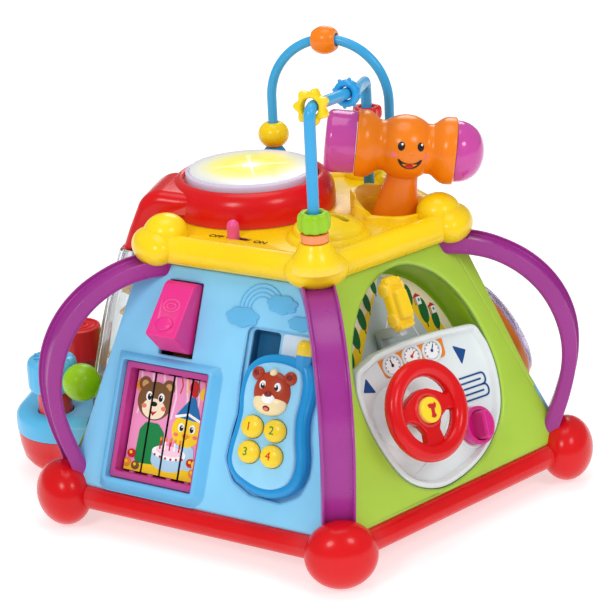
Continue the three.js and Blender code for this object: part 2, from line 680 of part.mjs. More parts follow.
place('orange_bead', roundBead(9.3, 16, boreRear + 0.9, 16, beadFrame(archTop, reachDir)), material('orange'));

// ---- phone ----
const phoneFrame = faceFrame(FACE.phone);
const KEYS = [[34.3, 58.9], [50.1, 58.8], [34.7, 43.8], [50.4, 43.6]];

function phoneBody() {
  const shape = grow(PHONE_OUTLINE, -0.2);
  const station = (w, inset) => {
    const ring = grow(shape, -inset);
    const lookup = new Map(shape.map(([x, y], i) => [`${x},${y}`, ring[i]]));
    return (x, y) => {
      const [a, b] = lookup.get(`${x},${y}`);
      return new THREE.Vector3(a, b, w).applyMatrix4(phoneFrame);
    };
  };
  let body = loft(shape, [station(-3.7, 1), station(-2.7, 0), station(3.4, 0), station(5, 1.8)]);
  for (const [u, v] of KEYS) body = body.subtract(drumLike(8.1, 3.6, 8, 18, chain(phoneFrame, at(u, v, 0))));
  return body.subtract(drumLike(3.4, 96, 108, 12, antennaFrame()));
}

function antennaFrame() {
  const turn = new THREE.Matrix4().makeRotationX(-90 * D);
  return chain(phoneFrame, at(57.4, 0, 1.4), turn);
}

function phoneFace() {
  let body = prism(grow(PHONE_OUTLINE, -5.6), 5.3, 8, phoneFrame);
  for (const [u, v] of KEYS) body = body.subtract(drumLike(8.1, 0, 12, 18, chain(phoneFrame, at(u, v, 0))));
  body = body.add(ellipsoid(14.4, 13.4, 4.6, 18, 8, chain(phoneFrame, at(43.6, 80.8, 8))).subtract(
    box(0, 100, 0, 140, -5, 5.3, phoneFrame)));
  for (const side of [-1, 1]) {
    body = body.add(ellipsoid(4.4, 4.4, 2.8, 10, 6, chain(phoneFrame, at(43.6 + side * 12, 90.4, 8.4))));
  }
  return body;
}

place('phone_body', phoneBody(), material('midBlue'));
place('phone_face', phoneFace(), material('blue'));
KEYS.forEach(([u, v], i) => {
  place(`phone_key_${i + 1}`, lathe([[0, 6], [7.3, 6], [7.3, 9.6], [6, 11], [0, 11.6]], 18, chain(phoneFrame, at(u, v, 0))),
    material('yellow'));
});
place('phone_antenna', lathe([[0, 97], [3, 97], [3, 105.6], [4.8, 106], [4.8, 111.6], [3.4, 114.4], [0, 115.2]], 14,
  antennaFrame()), material('yellow'));

// ---- picture shutter and its rocker ----
const SLAT_PITCH = 13.7;
const SLAT_CENTERS = [0, 1, 2, 3].map((i) => -56.2 + SLAT_PITCH * i);

function shutterFrame() {
  let body = box(-67.1, -4.9, 11.1, 84, -19, -0.8, phoneFrame);
  body = body.subtract(box(-63.4, -8.2, 15.4, 79.8, -17.4, 5, phoneFrame));
  for (const u of SLAT_CENTERS) {
    const pin = new THREE.Matrix4().makeRotationX(-90 * D);
    body = body.subtract(drumLike(1.5, 12.6, 82.4, 8, chain(phoneFrame, at(u, 0, -9.6), pin)));
  }
  return body;
}

place('shutter_frame', shutterFrame(), material('pink', 0.3));
SLAT_CENTERS.forEach((u, i) => {
  const pin = new THREE.Matrix4().makeRotationX(-90 * D);
  const slat = box(u - 6.55, u + 6.55, 16.4, 78.8, -10.5, -8.7, phoneFrame);
  place(`shutter_slat_${i + 1}`, slat.add(drumLike(1.1, 13.2, 81.8, 8, chain(phoneFrame, at(u, 0, -9.6), pin))),
    material('white', 0.4));
});

function rockerButton() {
  const profile = [[94.2, -4], [137, -4], [137, 2.4], [134.5, 4.6], [103.4, 19.4], [101.8, 19.2], [94.2, 1.6]];
  const stations = [[-11, 0], [-10, 1], [10, 1], [11, 0]].map(([u, lift]) => (v, w) => {
    const raise = w > 3 ? lift : 0;
    return new THREE.Vector3(u - 33, v, w + raise).applyMatrix4(phoneFrame);
  });
  return loft(profile, stations);
}

place('rocker_button', rockerButton(), material('pink'));

// ---- driving station ----
const driveFrame = faceFrame(FACE.driving);
const WHEEL = { u: -26.7, v: 56.7, w: 24, r: 25.6, tube: 5.4 };

function dashboard() {
  let body = prism(grow(ROAD_OUTLINE, -0.8), -9, -3, driveFrame);
  body = body.subtract(box(-90, 90, 98, 170, -40, 20, driveFrame));
  const hub = chain(driveFrame, at(WHEEL.u, WHEEL.v, 0));
  body = body.add(cone(19, 8.6, -4, 15, 22, hub));
  body = body.subtract(drumLike(3.6, -20, 20, 12, hub));
  return body.subtract(drumLike(3, -20, 0, 12, chain(driveFrame, at(27.7, 32.5, 0))));
}

function steeringWheel() {
  const hub = chain(driveFrame, at(WHEEL.u, WHEEL.v, 0));
  const g = new THREE.TorusGeometry(WHEEL.r, WHEEL.tube, 8, 20);
  let body = solid(g, chain(hub, at(0, 0, WHEEL.w)));
  body = body.add(cone(11.5, 12.5, 16, 26.5, 22, hub));
  body = body.add(drumLike(3, -4, 18, 10, hub));
  for (const angle of [12, 168, 270]) {
    const turn = new THREE.Matrix4().makeRotationZ(angle * D);
    body = body.add(box(6, WHEEL.r, -5, 5, 19, 25, chain(hub, turn)));
  }
  return body.subtract(drumLike(8.3, 23.5, 40, 20, hub));
}

place('dashboard', dashboard(), material('white'));
place('steering_wheel', steeringWheel(), material('red'));
place('horn_button', lathe([[0, 25.2], [7.9, 25.2], [7.9, 27.6], [6.6, 28.6], [0, 29.2]], 20,
  chain(driveFrame, at(WHEEL.u, WHEEL.v, 0))), material('yellow'));

function ignitionKey() {
  const hub = chain(driveFrame, at(27.7, 32.5, 0));
  const turn = new THREE.Matrix4().makeRotationZ(70 * D);
  let body = lathe([[0, -8], [2.5, -8], [2.5, -2.6], [11, -2.6], [11, 1], [10, 2], [0, 2]], 22, hub);
  body = body.add(prism(roundedRect(-9.5, 9.5, -2.4, 2.4, 2, 3), 1.4, 12, chain(hub, turn)));
  return body;
}

place('ignition_key', ignitionKey(), material('pink'));

function toyCar() {
  const f = driveFrame;
  let body = drumLike(3, -24, -19, 12, chain(f, at(-7, 48, 0)));
  body = body.add(box(-10.5, -3.5, 45, 108, -20, -16.5, f));
  body = body.add(box(-10, -4, 101.5, 108, -17, 3, f));
  body = body.add(prism(roundedRect(-14.6, 1.1, 105, 137, 5, 4), 1.6, 9, f));
  body = body.add(prism(roundedRect(-12.9, -0.6, 112, 130, 4, 3), 8, 13.4, f));
  for (const [u, v] of [[-14.4, 112], [0.9, 112], [-14.4, 130], [0.9, 130]]) {
    body = body.add(box(-2.2, 2.2, -4.4, 4.4, 0.8, 7.6, chain(f, at(u, v, 0))));
  }
  return body;
}

place('toy_car', toyCar(), material('yellow'));

// ---- peg bench, side knob and ball track ----
function trackPoint(a, t, z) {
  return radialPoint(FACE.track, a, t, z);
}

function benchOutline(inner, outer, half, r) {
  const points = [[inner, -half], [inner, half]];
  for (let i = 0; i <= 6; i += 1) {
    const angle = (90 - 15 * i) * D;
    points.push([outer - r + r * Math.cos(angle), half - r + r * Math.sin(angle)]);
  }
  for (let i = 0; i <= 6; i += 1) {
    const angle = (0 - 15 * i) * D;
    points.push([outer - r + r * Math.cos(angle), -half + r + r * Math.sin(angle)]);
  }
  return points;
}

function benchSolid(rings) {
  const base = benchOutline(...rings[0].slice(1));
  const outlines = rings.map(([, ...shape]) => benchOutline(...shape));
  const stations = rings.map(([z], k) => {
    const lookup = new Map(base.map(([x, y], i) => [`${x},${y}`, outlines[k][i]]));
    return (x, y) => {
      const [a, t] = lookup.get(`${x},${y}`);
      return trackPoint(a, t, z);
    };
  });
  return loft(base, stations);
}

function pegTray() {
  const body = benchSolid([[6, 147, 190.5, 45, 32], [12, 145.6, 195, 49, 36], [29.8, 145.6, 196.5, 50, 37]]);
  return body.subtract(benchSolid([[9, 149, 189.5, 44, 31], [40, 149, 193, 46.5, 34]]));
}

function pegDeck() {
  let body = benchSolid([[30.2, 138.2, 197, 50.4, 37], [39, 138.2, 197, 50.4, 37], [44.4, 138.2, 194, 47.5, 34.5],
    [46, 138.2, 189.5, 43, 30]]);
  body = body.subtract(benchSolid([[25, 149, 193, 46.5, 34], [42, 149, 190.5, 44, 31]]));
  for (const side of [-1, 1]) {
    const p = trackPoint(PEGS.apothem, side * PEGS.spread, 0);
    body = body.subtract(drumLike(12, 20, 60, 20, at(p.x, p.y, 0)));
  }
  return body;
}

function peg(side, profile) {
  const p = trackPoint(PEGS.apothem, side * PEGS.spread, 0);
  return lathe(profile, 24, at(p.x, p.y, 0));
}

place('peg_tray', pegTray(), material('red'));
place('peg_deck', pegDeck(), material('blue'));
place('blue_peg', peg(1, [[0, 27], [11.4, 27], [11.4, 62], [15.6, 62.6], [16.5, 65], [16.5, 80], [14.8, 83.4], [0, 84]]), material('blue'));
place('red_peg', peg(-1, [[0, 27], [11.4, 27], [11.4, 60.5], [14.8, 61], [15, 63], [15, 82.6], [13.8, 84], [0, 84]]), material('red'));

const trackFrame = faceFrame(FACE.track);
place('green_ball', ellipsoid(12.4, 12.4, 12.4, 20, 12, chain(trackFrame, at(50, 44, 18.6))).add(
  drumLike(4.6, -12, 12, 12, chain(trackFrame, at(50, 44, 0)))).add(
  drumLike(7.4, -12, -9.6, 14, chain(trackFrame, at(50, 44, 0)))), material('lime'));

function trackCover() {
  const outer = [
    [130.4, 46.8], [141.4, 46.8], [141, 53], [138.6, 70], [134, 90], [127.2, 117], [118.6, 143], [113, 158.4], [81.9, 158.4],
  ];
  const inner = [
    [120, 44], [139.4, 44], [139, 53], [136.6, 69.6], [132, 89.4], [125.2, 116.2], [116.8, 141.8], [111.6, 156], [70, 156],
  ];
  const shell = loft(outer, [-26, -24.5, 24.5, 26].map((t) => (a, z) => trackPoint(Math.abs(t) > 25 && a > 142 - 0.32 * (z - 27.4) ? a - 1.2 : a, t, z)));
  return shell.subtract(loft(inner, [-24.2, 24.2].map((t) => (a, z) => trackPoint(a, t, z))));
}

place('track_cover', trackCover(), material('clear', 0.1));

// ---- spinner face ----
const spinFrame = faceFrame(FACE.spinner);
const hubSpin = chain(spinFrame, at(-22, 52, 0));
place('spinner_wheel', lathe([[0, -7], [5, -7], [5, 0.8], [38.6, 0.8], [40, 2.4], [40, 10], [38.4, 12], [0, 12]], 36, hubSpin),
  material('orange'));
place('spinner_dome', lathe([[0, 12.4], [37.6, 12.4], [36.8, 15], [31.4, 18.4], [22, 20.8], [11, 22], [0, 22.4]], 36, hubSpin),
  material('white', 0.2));
place('side_knob', lathe([[0, -6], [8, -6], [8, 0.8], [14, 0.8], [14, 8], [12.2, 12.4], [7.8, 15.4], [0, 16.8]], 24,
  chain(spinFrame, at(-28, 108, 0))), material('lime'));

export default group;
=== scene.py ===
import math

import bmesh
import bpy
from mathutils import Matrix, Vector
from mathutils.geometry import tessellate_polygon


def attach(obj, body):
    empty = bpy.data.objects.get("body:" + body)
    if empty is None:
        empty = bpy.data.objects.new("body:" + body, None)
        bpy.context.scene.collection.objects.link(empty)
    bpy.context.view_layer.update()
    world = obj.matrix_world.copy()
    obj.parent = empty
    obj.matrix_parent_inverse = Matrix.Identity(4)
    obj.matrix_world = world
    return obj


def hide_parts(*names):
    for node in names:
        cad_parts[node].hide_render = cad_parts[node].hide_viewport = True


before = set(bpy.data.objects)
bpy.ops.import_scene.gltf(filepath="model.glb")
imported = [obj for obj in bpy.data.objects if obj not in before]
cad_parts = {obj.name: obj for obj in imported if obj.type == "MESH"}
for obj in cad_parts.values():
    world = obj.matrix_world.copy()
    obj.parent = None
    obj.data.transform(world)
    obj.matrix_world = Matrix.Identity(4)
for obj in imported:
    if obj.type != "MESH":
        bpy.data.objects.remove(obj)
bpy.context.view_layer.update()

MM = 0.001
ROOT = "cube_body"
UP = Vector((0, 0, 1))
NEARLY_UPRIGHT = 0.95  # an axis this close to vertical needs another hint


def cosd(degrees):
    return math.cos(math.radians(degrees))


def sind(degrees):
    return math.sin(math.radians(degrees))


# ---------------------------------------------------------------- frames, millimetres
def basis(origin, x, y, z):
    m = Matrix((x, y, z)).transposed().to_4x4()
    m.translation = origin
    return m


def radial(azimuth, r, t, z):
    a = math.radians(azimuth)
    return Vector((r * math.sin(a) + t * math.cos(a), -r * math.cos(a) + t * math.sin(a), z))


def shift(x, y, z):
    return Matrix.Translation((x, y, z))


def spin(degrees, axis="Z"):
    return Matrix.Rotation(math.radians(degrees), 4, axis)


def corner_frame(azimuth, r, z):
    o = radial(azimuth, r, 0, z)
    return basis(o, radial(azimuth, 1, 0, 0), radial(azimuth, 0, 1, 0), UP)


TILT = math.radians(23.69)
FOOT_APOTHEM, FOOT_Z = 138.5, 27.4
TAN36 = math.tan(math.radians(36))
MITRE_GAP = 0.2


def face_frame(azimuth):
    out = radial(azimuth, 1, 0, 0)
    side = radial(azimuth, 0, 1, 0)
    up = out * -math.sin(TILT) + UP * math.cos(TILT)
    normal = out * math.cos(TILT) + UP * math.sin(TILT)
    return basis(out * FOOT_APOTHEM + UP * FOOT_Z, side, up, normal)


def half_width(v, w):
    return TAN36 * (FOOT_APOTHEM - v * math.sin(TILT) + w * math.cos(TILT)) - MITRE_GAP


CORNERS = {"front": 0, "left": -72, "right": 72, "back_left": -144, "back_right": 144}
FACES = {"phone": -36, "driving": 36, "spinner": 108, "back": 180, "track": -108}
F = {name: face_frame(azimuth) for name, azimuth in FACES.items()}


def facing(origin, axis):
    """A frame whose Z runs along axis."""
    z = axis.normalized()
    hint = Vector((1, 0, 0)) if abs(z.z) > NEARLY_UPRIGHT else Vector((0, 0, 1))
    x = hint.cross(z).normalized()
    return basis(origin, x, z.cross(x), z)


# ---------------------------------------------------------------- outlines
def catmull(points, count, closed=False):
    """Centripetal Catmull-Rom through the points, evenly spaced along its length."""
    pts = [Vector(p) for p in points]
    n = len(pts)
    dense = []
    segs = n if closed else n - 1
    for i in range(segs):
        p1, p2 = pts[i], pts[(i + 1) % n]
        if closed:
            p0, p3 = pts[i - 1], pts[(i + 2) % n]
        else:
            p0 = pts[i - 1] if i else p1 * 2 - p2
            p3 = pts[i + 2] if i + 2 < n else p2 * 2 - p1
        d0, d1, d2 = (max((a - b).length ** 0.5, 1e-6) for a, b in ((p1, p0), (p2, p1), (p3, p2)))
        m1 = ((p1 - p0) / d0 - (p2 - p0) / (d0 + d1) + (p2 - p1) / d1) * d1
        m2 = ((p2 - p1) / d1 - (p3 - p1) / (d1 + d2) + (p3 - p2) / d2) * d1
        for k in range(24):
            t = k / 24
            a = p1 * (2 * t**3 - 3 * t * t + 1) + m1 * (t**3 - 2 * t * t + t)
            dense.append(a + p2 * (3 * t * t - 2 * t**3) + m2 * (t**3 - t * t))
    dense.append(pts[0] if closed else pts[-1])
    run = [0.0]
    for a, b in zip(dense, dense[1:]):
        run.append(run[-1] + (b - a).length)
    total = run[-1]
    out = []
    j = 0
    for i in range(count):
        want = total * i / (count if closed else count - 1)
        while j + 2 < len(run) and run[j + 1] < want:
            j += 1
        span = run[j + 1] - run[j]
        out.append(dense[j].lerp(dense[j + 1], 0 if span < 1e-9 else (want - run[j]) / span))
    return out


def area(loop):
    return sum(a[0] * b[1] - b[0] * a[1] for a, b in zip(loop, loop[1:] + loop[:1])) / 2


def ccw(loop):
    loop = [(p[0], p[1]) for p in loop]
    return loop if area(loop) > 0 else loop[::-1]


def grow(loop, d):
    """Offsets an anticlockwise loop outwards by d, with mitred corners."""
    n = len(loop)
    out = []
    for i in range(n):
        px, py = loop[i - 1]
        x, y = loop[i]
        qx, qy = loop[(i + 1) % n]
        l1 = math.hypot(x - px, y - py) or 1e-9
        l2 = math.hypot(qx - x, qy - y) or 1e-9
        n1 = ((y - py) / l1, (px - x) / l1)
        n2 = ((qy - y) / l2, (x - qx) / l2)
        k = max(1 + n1[0] * n2[0] + n1[1] * n2[1], 0.35)
        out.append((x + d * (n1[0] + n2[0]) / k, y + d * (n1[1] + n2[1]) / k))
    return out


def circle(r, n=48, cx=0.0, cy=0.0, ry=None):
    ry = r if ry is None else ry
    return [(cx + r * math.cos(2 * math.pi * i / n), cy + ry * math.sin(2 * math.pi * i / n))
            for i in range(n)]


def fillet(points, radius, steps=6):
    """Rounds a polygon's corners; radius is one number or one for each corner."""
    pts = [Vector((p[0], p[1])) for p in points]
    n = len(pts)
    radii = radius if isinstance(radius, (list, tuple)) else [radius] * n
    out = []
    for i, p in enumerate(pts):
        a = (pts[i - 1] - p)
        b = (pts[(i + 1) % n] - p)
        r = radii[i]
        la, lb = a.length, b.length
        a, b = a / la, b / lb
        cosine = max(-1, min(1, a.dot(b)))
        half = math.acos(cosine) / 2
        t = min(r / max(math.tan(half), 1e-6), la * 0.49, lb * 0.49)
        if r <= 0 or t < 1e-4:
            out.append((p.x, p.y))
            continue
        s, e = p + a * t, p + b * t
        mid = (a + b)
        if mid.length < 1e-6:
            out.append((p.x, p.y))
            continue
        centre = p + mid.normalized() * (t / math.cos(half))
        rr = (s - centre).length
        a0 = math.atan2(s.y - centre.y, s.x - centre.x)
        a1 = math.atan2(e.y - centre.y, e.x - centre.x)
        turn = (a1 - a0 + math.pi) % (2 * math.pi) - math.pi
        for k in range(steps + 1):
            q = a0 + turn * k / steps
            out.append((centre.x + rr * math.cos(q), centre.y + rr * math.sin(q)))
    return out


def rect(x0, x1, y0, y1, r=0.0, steps=6):
    return fillet([(x0, y0), (x1, y0), (x1, y1), (x0, y1)], r, steps)


# ---------------------------------------------------------------- mesh parts: (verts, faces)
def put(part, m):
    verts, faces = part
    return [m @ v for v in verts], faces


def loft(rings, caps=True, loop=False):
    """Quads between rings of equal length, with capped ends unless the rings close on themselves."""
    n = len(rings[0])
    verts = [Vector(p) for ring in rings for p in ring]
    faces = []
    count = len(rings)
    for s in range(count if loop else count - 1):
        a, b = s * n, ((s + 1) % count) * n
        for i in range(n):
            j = (i + 1) % n
            faces.append((a + i, a + j, b + j, b + i))
    if caps and not loop:
        faces.append(tuple(range(n))[::-1])
        faces.append(tuple((count - 1) * n + i for i in range(n)))
    return verts, faces


def lathe(profile, n=64, m=Matrix(), loop=False, shape=None):
    """Turns (r, z) points about Z. shape(angle, r, z) scales the radius."""
    verts, faces, rows = [], [], []
    for r, z in profile:
        if r < 1e-6:
            rows.append([len(verts)])
            verts.append(Vector((0, 0, z)))
            continue
        row = []
        for i in range(n):
            a = 2 * math.pi * i / n
            k = shape(a, r, z) if shape else 1
            row.append(len(verts))
            verts.append(Vector((r * k * math.cos(a), r * k * math.sin(a), z)))
        rows.append(row)
    pairs = list(zip(rows, rows[1:])) + ([(rows[-1], rows[0])] if loop else [])
    for lo, hi in pairs:
        for i in range(n):
            j = (i + 1) % n
            if len(lo) == 1 and len(hi) == 1:
                continue
            if len(lo) == 1:
                faces.append((lo[0], hi[j], hi[i]))
            elif len(hi) == 1:
                faces.append((lo[i], lo[j], hi[0]))
            else:
                faces.append((lo[i], lo[j], hi[j], hi[i]))
    return put((verts, faces), m)


def ellipsoid(sx, sy, sz, m=Matrix(), n=56, rows=28):
    profile = [(math.sin(math.pi * i / rows), -math.cos(math.pi * i / rows)) for i in range(rows + 1)]
    profile[0], profile[-1] = (0, -1), (0, 1)
    verts, faces = lathe(profile, n)
    return [m @ Vector((v.x * sx, v.y * sy, v.z * sz)) for v in verts], faces


def arc(cx, cz, r, a0, a1, steps=6):
    """Profile points on an arc, angles in degrees from the +r axis."""
    return [
        (cx + r * cosd(a0 + (a1 - a0) * k / steps),
         cz + r * sind(a0 + (a1 - a0) * k / steps))
        for k in range(steps + 1)
    ]


def tube(points, r, n=24, round_ends=False):
    pts = [Vector(p) for p in points]
    radii = list(r) if isinstance(r, (list, tuple)) else [r] * len(pts)
    if round_ends:
        for end in (0, -1):
            q, away = pts[end], (pts[end] - pts[1 if end == 0 else -2]).normalized()
            rr = radii[end]
            extra = [(q + away * rr * sind(a), rr * cosd(a)) for a in (30, 55, 75, 88)]
            if end == 0:
                pts = [e[0] for e in extra[::-1]] + pts
                radii = [e[1] for e in extra[::-1]] + radii
            else:
                pts = pts + [e[0] for e in extra]
                radii = radii + [e[1] for e in extra]
    rings = []
    normal = None
    for i, p in enumerate(pts):
        t = (pts[min(i + 1, len(pts) - 1)] - pts[max(i - 1, 0)]).normalized()
        if normal is None:
            hint = Vector((1, 0, 0)) if abs(t.z) > 0.9 else UP
            normal = hint.cross(t).normalized()
        else:
            normal = (normal - t * normal.dot(t)).normalized()
        side = t.cross(normal)
        rings.append([
            p + normal * (radii[i] * math.cos(2 * math.pi * k / n)) + side
            * (radii[i] * math.sin(2 * math.pi * k / n))
            for k in range(n)
        ])
    return loft(rings)


def fill(loops, up=True, base=0):
    """Triangles across an outline with holes. Vertex numbers start at base and follow the loops."""
    layers = [[Vector((p[0], p[1], 0)) for p in loop] for loop in loops]
    tris = tessellate_polygon(layers)
    flat = [p for layer in layers for p in layer]
    faces = []
    for a, b, c in tris:
        cross = (flat[b] - flat[a]).cross(flat[c] - flat[a]).z
        if abs(cross) < 1e-12:
            continue
        if (cross > 0) != up:
            b, c = c, b
        faces.append((base + a, base + b, base + c))
    return faces


def slab(outline, w0, w1, m=Matrix(), holes=(), bevel=0.0, back=0.0, steps=4, hole_bevel=None, ring=None):
    """A plate from w0 to w1 with rounded edges, in frame m. ring(loop, w, inset) may bend the outline."""
    hole_bevel = bevel if hole_bevel is None else hole_bevel
    outline = ccw(outline)
    holes = [ccw(h) for h in holes]

    def levels(b, k):
        rows = []
        if k > 0:
            rows += [(w0 + k * (1 - math.sin(t)), k * (1 - math.cos(t))) for t in
                     [math.pi / 2 * (1 - i / steps) for i in range(steps + 1)]]
        else:
            rows.append((w0, 0.0))
        if b > 0:
            rows += [(w1 - b * (1 - math.sin(t)), b * (1 - math.cos(t))) for t in
                     [math.pi / 2 * i / steps for i in range(steps + 1)]]
        else:
            rows.append((w1, 0.0))
        return rows

    verts, faces = [], []
    ends = []
    for number, loop in enumerate([outline] + holes):
        sign = -1 if number == 0 else 1
        rows = levels(bevel if number == 0 else hole_bevel, back)
        n = len(loop)
        starts = []
        for w, inset in rows:
            pts = ring(loop, w, inset) if (ring and number == 0) else grow(loop, sign * inset)
            starts.append(len(verts))
            verts += [Vector((p[0], p[1], w)) for p in pts]
        for a, b in zip(starts, starts[1:]):
            for i in range(n):
                j = (i + 1) % n
                quad = (a + i, a + j, b + j, b + i)
                faces.append(quad if number == 0 else quad[::-1])
        ends.append((starts[0], starts[-1], n))
    for which, up in ((0, False), (1, True)):
        loops, index = [], []
        for e in ends:
            start = e[which]
            loops.append([verts[start + i] for i in range(e[2])])
            index += [start + i for i in range(e[2])]
        for tri in fill(loops, up):
            faces.append(tuple(index[t] for t in tri))
    return put((verts, faces), m)


def solid_box(x0, x1, y0, y1, z0, z1, m=Matrix(), r=1.0, bevel=0.8):
    return slab(rect(x0, x1, y0, y1, r), z0, z1, m, bevel=bevel, back=bevel, steps=3)


def join(*parts):
    verts, faces = [], []
    for v, f in parts:
        base = len(verts)
        verts += v
        faces += [tuple(i + base for i in face) for face in f]
    return verts, faces


# ---------------------------------------------------------------- pieces
def piece(name, groups, body=ROOT, stands_for=(), angle=32, weighted=True):
    """Makes one object from groups [(part, material), ...], all in millimetres, and hangs it on its body."""
    mesh = bpy.data.meshes.new(name)
    verts, faces, marks, mats = [], [], [], []
    for part, mat in groups:
        if mat not in mats:
            mats.append(mat)
        k = mats.index(mat)
        base = len(verts)
        verts += [v * MM for v in part[0]]
        faces += [tuple(i + base for i in f) for f in part[1]]
        marks += [k] * len(part[1])
    mesh.from_pydata(verts, [], faces)
    for mat in mats:
        mesh.materials.append(mat)
    mesh.polygons.foreach_set("material_index", marks)
    bm = bmesh.new()
    bm.from_mesh(mesh)
    bmesh.ops.recalc_face_normals(bm, faces=bm.faces)
    bm.to_mesh(mesh)
    bm.free()
    mesh.shade_smooth()
    mesh.set_sharp_from_angle(angle=math.radians(angle))
    mesh.update()
    obj = bpy.data.objects.new(name, mesh)
    bpy.context.scene.collection.objects.link(obj)
    if weighted:
        mod = obj.modifiers.new("even_shading", "WEIGHTED_NORMAL")
        mod.keep_sharp = True
    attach(obj, body)
    if stands_for:
        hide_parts(*stands_for)
    return obj


def carve(obj, *cutters):
    """Cuts closed parts out of a piece, once, before anything else uses it."""
    for part in cutters:
        mesh = bpy.data.meshes.new("cutter")
        mesh.from_pydata([v * MM for v in part[0]], [], part[1])
        bm = bmesh.new()
        bm.from_mesh(mesh)
        bmesh.ops.recalc_face_normals(bm, faces=bm.faces)
        bm.to_mesh(mesh)
        bm.free()
        cutter = bpy.data.objects.new("cutter", mesh)
        bpy.context.scene.collection.objects.link(cutter)
        mod = obj.modifiers.new("cut", "BOOLEAN")
        mod.operation = "DIFFERENCE"
        mod.solver = "EXACT"
        mod.object = cutter
        obj.modifiers.move(len(obj.modifiers) - 1, 0)
        bpy.context.view_layer.update()
        graph = bpy.context.evaluated_depsgraph_get()
        others = [x for x in obj.modifiers if x.name != mod.name]
        for x in others:
            x.show_viewport = False
        bpy.context.view_layer.update()
        result = bpy.data.meshes.new_from_object(obj.evaluated_get(graph))
        obj.modifiers.remove(mod)
        for x in others:
            x.show_viewport = True
        old = obj.data
        result.name = old.name
        obj.data = result
        bpy.data.meshes.remove(old)
        bpy.data.objects.remove(cutter)
        bpy.data.meshes.remove(mesh)
        result.set_sharp_from_angle(angle=math.radians(32))
    return obj


def letters(text, size, m, lift=0.12, weight=0.02):
    """Raised generic characters, centred in frame m."""
    curve = bpy.data.curves.new("print", "FONT")
    curve.body = text
    curve.size = size
    curve.align_x = "CENTER"
    curve.align_y = "CENTER"
    curve.extrude = lift / 2
    curve.resolution_u = 4
    curve.offset = weight * size
    holder = bpy.data.objects.new("print", curve)
    bpy.context.scene.collection.objects.link(holder)
    bpy.context.view_layer.update()
    mesh = bpy.data.meshes.new_from_object(holder.evaluated_get(bpy.context.evaluated_depsgraph_get()))
    part = ([m @ Vector((v.co.x, v.co.y, v.co.z + lift / 2)) for v in mesh.vertices],
            [tuple(p.vertices) for p in mesh.polygons])
    bpy.data.objects.remove(holder)
    bpy.data.curves.remove(curve)
    bpy.data.meshes.remove(mesh)
    return part


# ---------------------------------------------------------------- materials
def linear(rgb):
    return [c / 12.92 if c <= 0.04045 else ((c + 0.055) / 1.055) ** 2.4 for c in (x / 255 for x in rgb)]


def rgba(rgb):
    return (*linear(rgb), 1.0)


def node(tree, kind, where, **values):
    n = tree.nodes.new(kind)
    n.location = where
    for key, value in values.items():
        if hasattr(n, key):
            setattr(n, key, value)
        else:
            n.inputs[key].default_value = value
    return n


def plastic(name, rgb, rough=0.26, mottle=0.06, grain=0.05, scale=900.0, coat=0.12, clear=0.0, sub=0.0,
            edge=0.25, spec=0.34, glow=0.0):
    """Moulded plastic: slight colour drift, uneven gloss, fine surface grain and paler sharp edges, a painted
    highlight.
    """
    mat = bpy.data.materials.new(name)
    mat.use_nodes = True
    t = mat.node_tree
    link = t.links.new
    shader = t.nodes["Principled BSDF"]
    coords = node(t, "ShaderNodeTexCoord", (-1100, 0))
    drift = node(t, "ShaderNodeTexNoise", (-850, 250), Scale=18.0, Detail=3.0, Roughness=0.55)
    link(coords.outputs["Object"], drift.inputs["Vector"])
    base = linear(rgb)
    tone = node(t, "ShaderNodeValToRGB", (-620, 250))
    tone.color_ramp.elements[0].position = 0.3
    tone.color_ramp.elements[1].position = 0.7
    tone.color_ramp.elements[0].color = (*[c * (1 - mottle) for c in base], 1)
    tone.color_ramp.elements[1].color = (*[min(1, c * (1 + mottle) + 0.004) for c in base], 1)
    link(drift.outputs["Fac"], tone.inputs["Fac"])
    # painted highlight: pointiness mixes the colour towards white along sharp edges
    geometry = node(t, "ShaderNodeNewGeometry", (-850, 560))
    edge_highlight = node(t, "ShaderNodeMapRange", (-620, 560), clamp=True)
    edge_highlight.inputs["From Min"].default_value = 0.52
    edge_highlight.inputs["From Max"].default_value = 0.62
    edge_highlight.inputs["To Max"].default_value = edge
    link(geometry.outputs["Pointiness"], edge_highlight.inputs["Value"])
    mix = node(t, "ShaderNodeMix", (-320, 300), data_type="RGBA")
    link(edge_highlight.outputs["Result"], mix.inputs["Factor"])
    link(tone.outputs["Color"], mix.inputs[6])
    mix.inputs[7].default_value = (*[c + (1 - c) * 0.45 for c in base], 1)
    link(mix.outputs[2], shader.inputs["Base Color"])
    smear = node(t, "ShaderNodeTexNoise", (-850, -60), Scale=46.0, Detail=4.0, Roughness=0.6)
    link(coords.outputs["Object"], smear.inputs["Vector"])
    gloss = node(t, "ShaderNodeMapRange", (-620, -60))
    gloss.inputs["To Min"].default_value = rough * 0.8
    gloss.inputs["To Max"].default_value = rough * 1.25
    link(smear.outputs["Fac"], gloss.inputs["Value"])
    link(gloss.outputs["Result"], shader.inputs["Roughness"])
    fine = node(t, "ShaderNodeTexNoise", (-850, -360), Scale=scale, Detail=2.0, Roughness=0.5)
    link(coords.outputs["Object"], fine.inputs["Vector"])
    bump = node(t, "ShaderNodeBump", (-320, -360), Strength=grain, Distance=0.0004)
    link(fine.outputs["Fac"], bump.inputs["Height"])
    link(bump.outputs["Normal"], shader.inputs["Normal"])
    shader.inputs["Coat Weight"].default_value = coat
    shader.inputs["Coat Roughness"].default_value = 0.12
    shader.inputs["Specular IOR Level"].default_value = spec
    shader.inputs["Transmission Weight"].default_value = clear
    if sub:
        shader.inputs["Subsurface Weight"].default_value = sub
        shader.inputs["Subsurface Scale"].default_value = 0.004
    # glow is painted light: the surface gives off its own colour although no lamp is there
    if glow:
        link(mix.outputs[2], shader.inputs["Emission Color"])
        shader.inputs["Emission Strength"].default_value = glow
    return mat


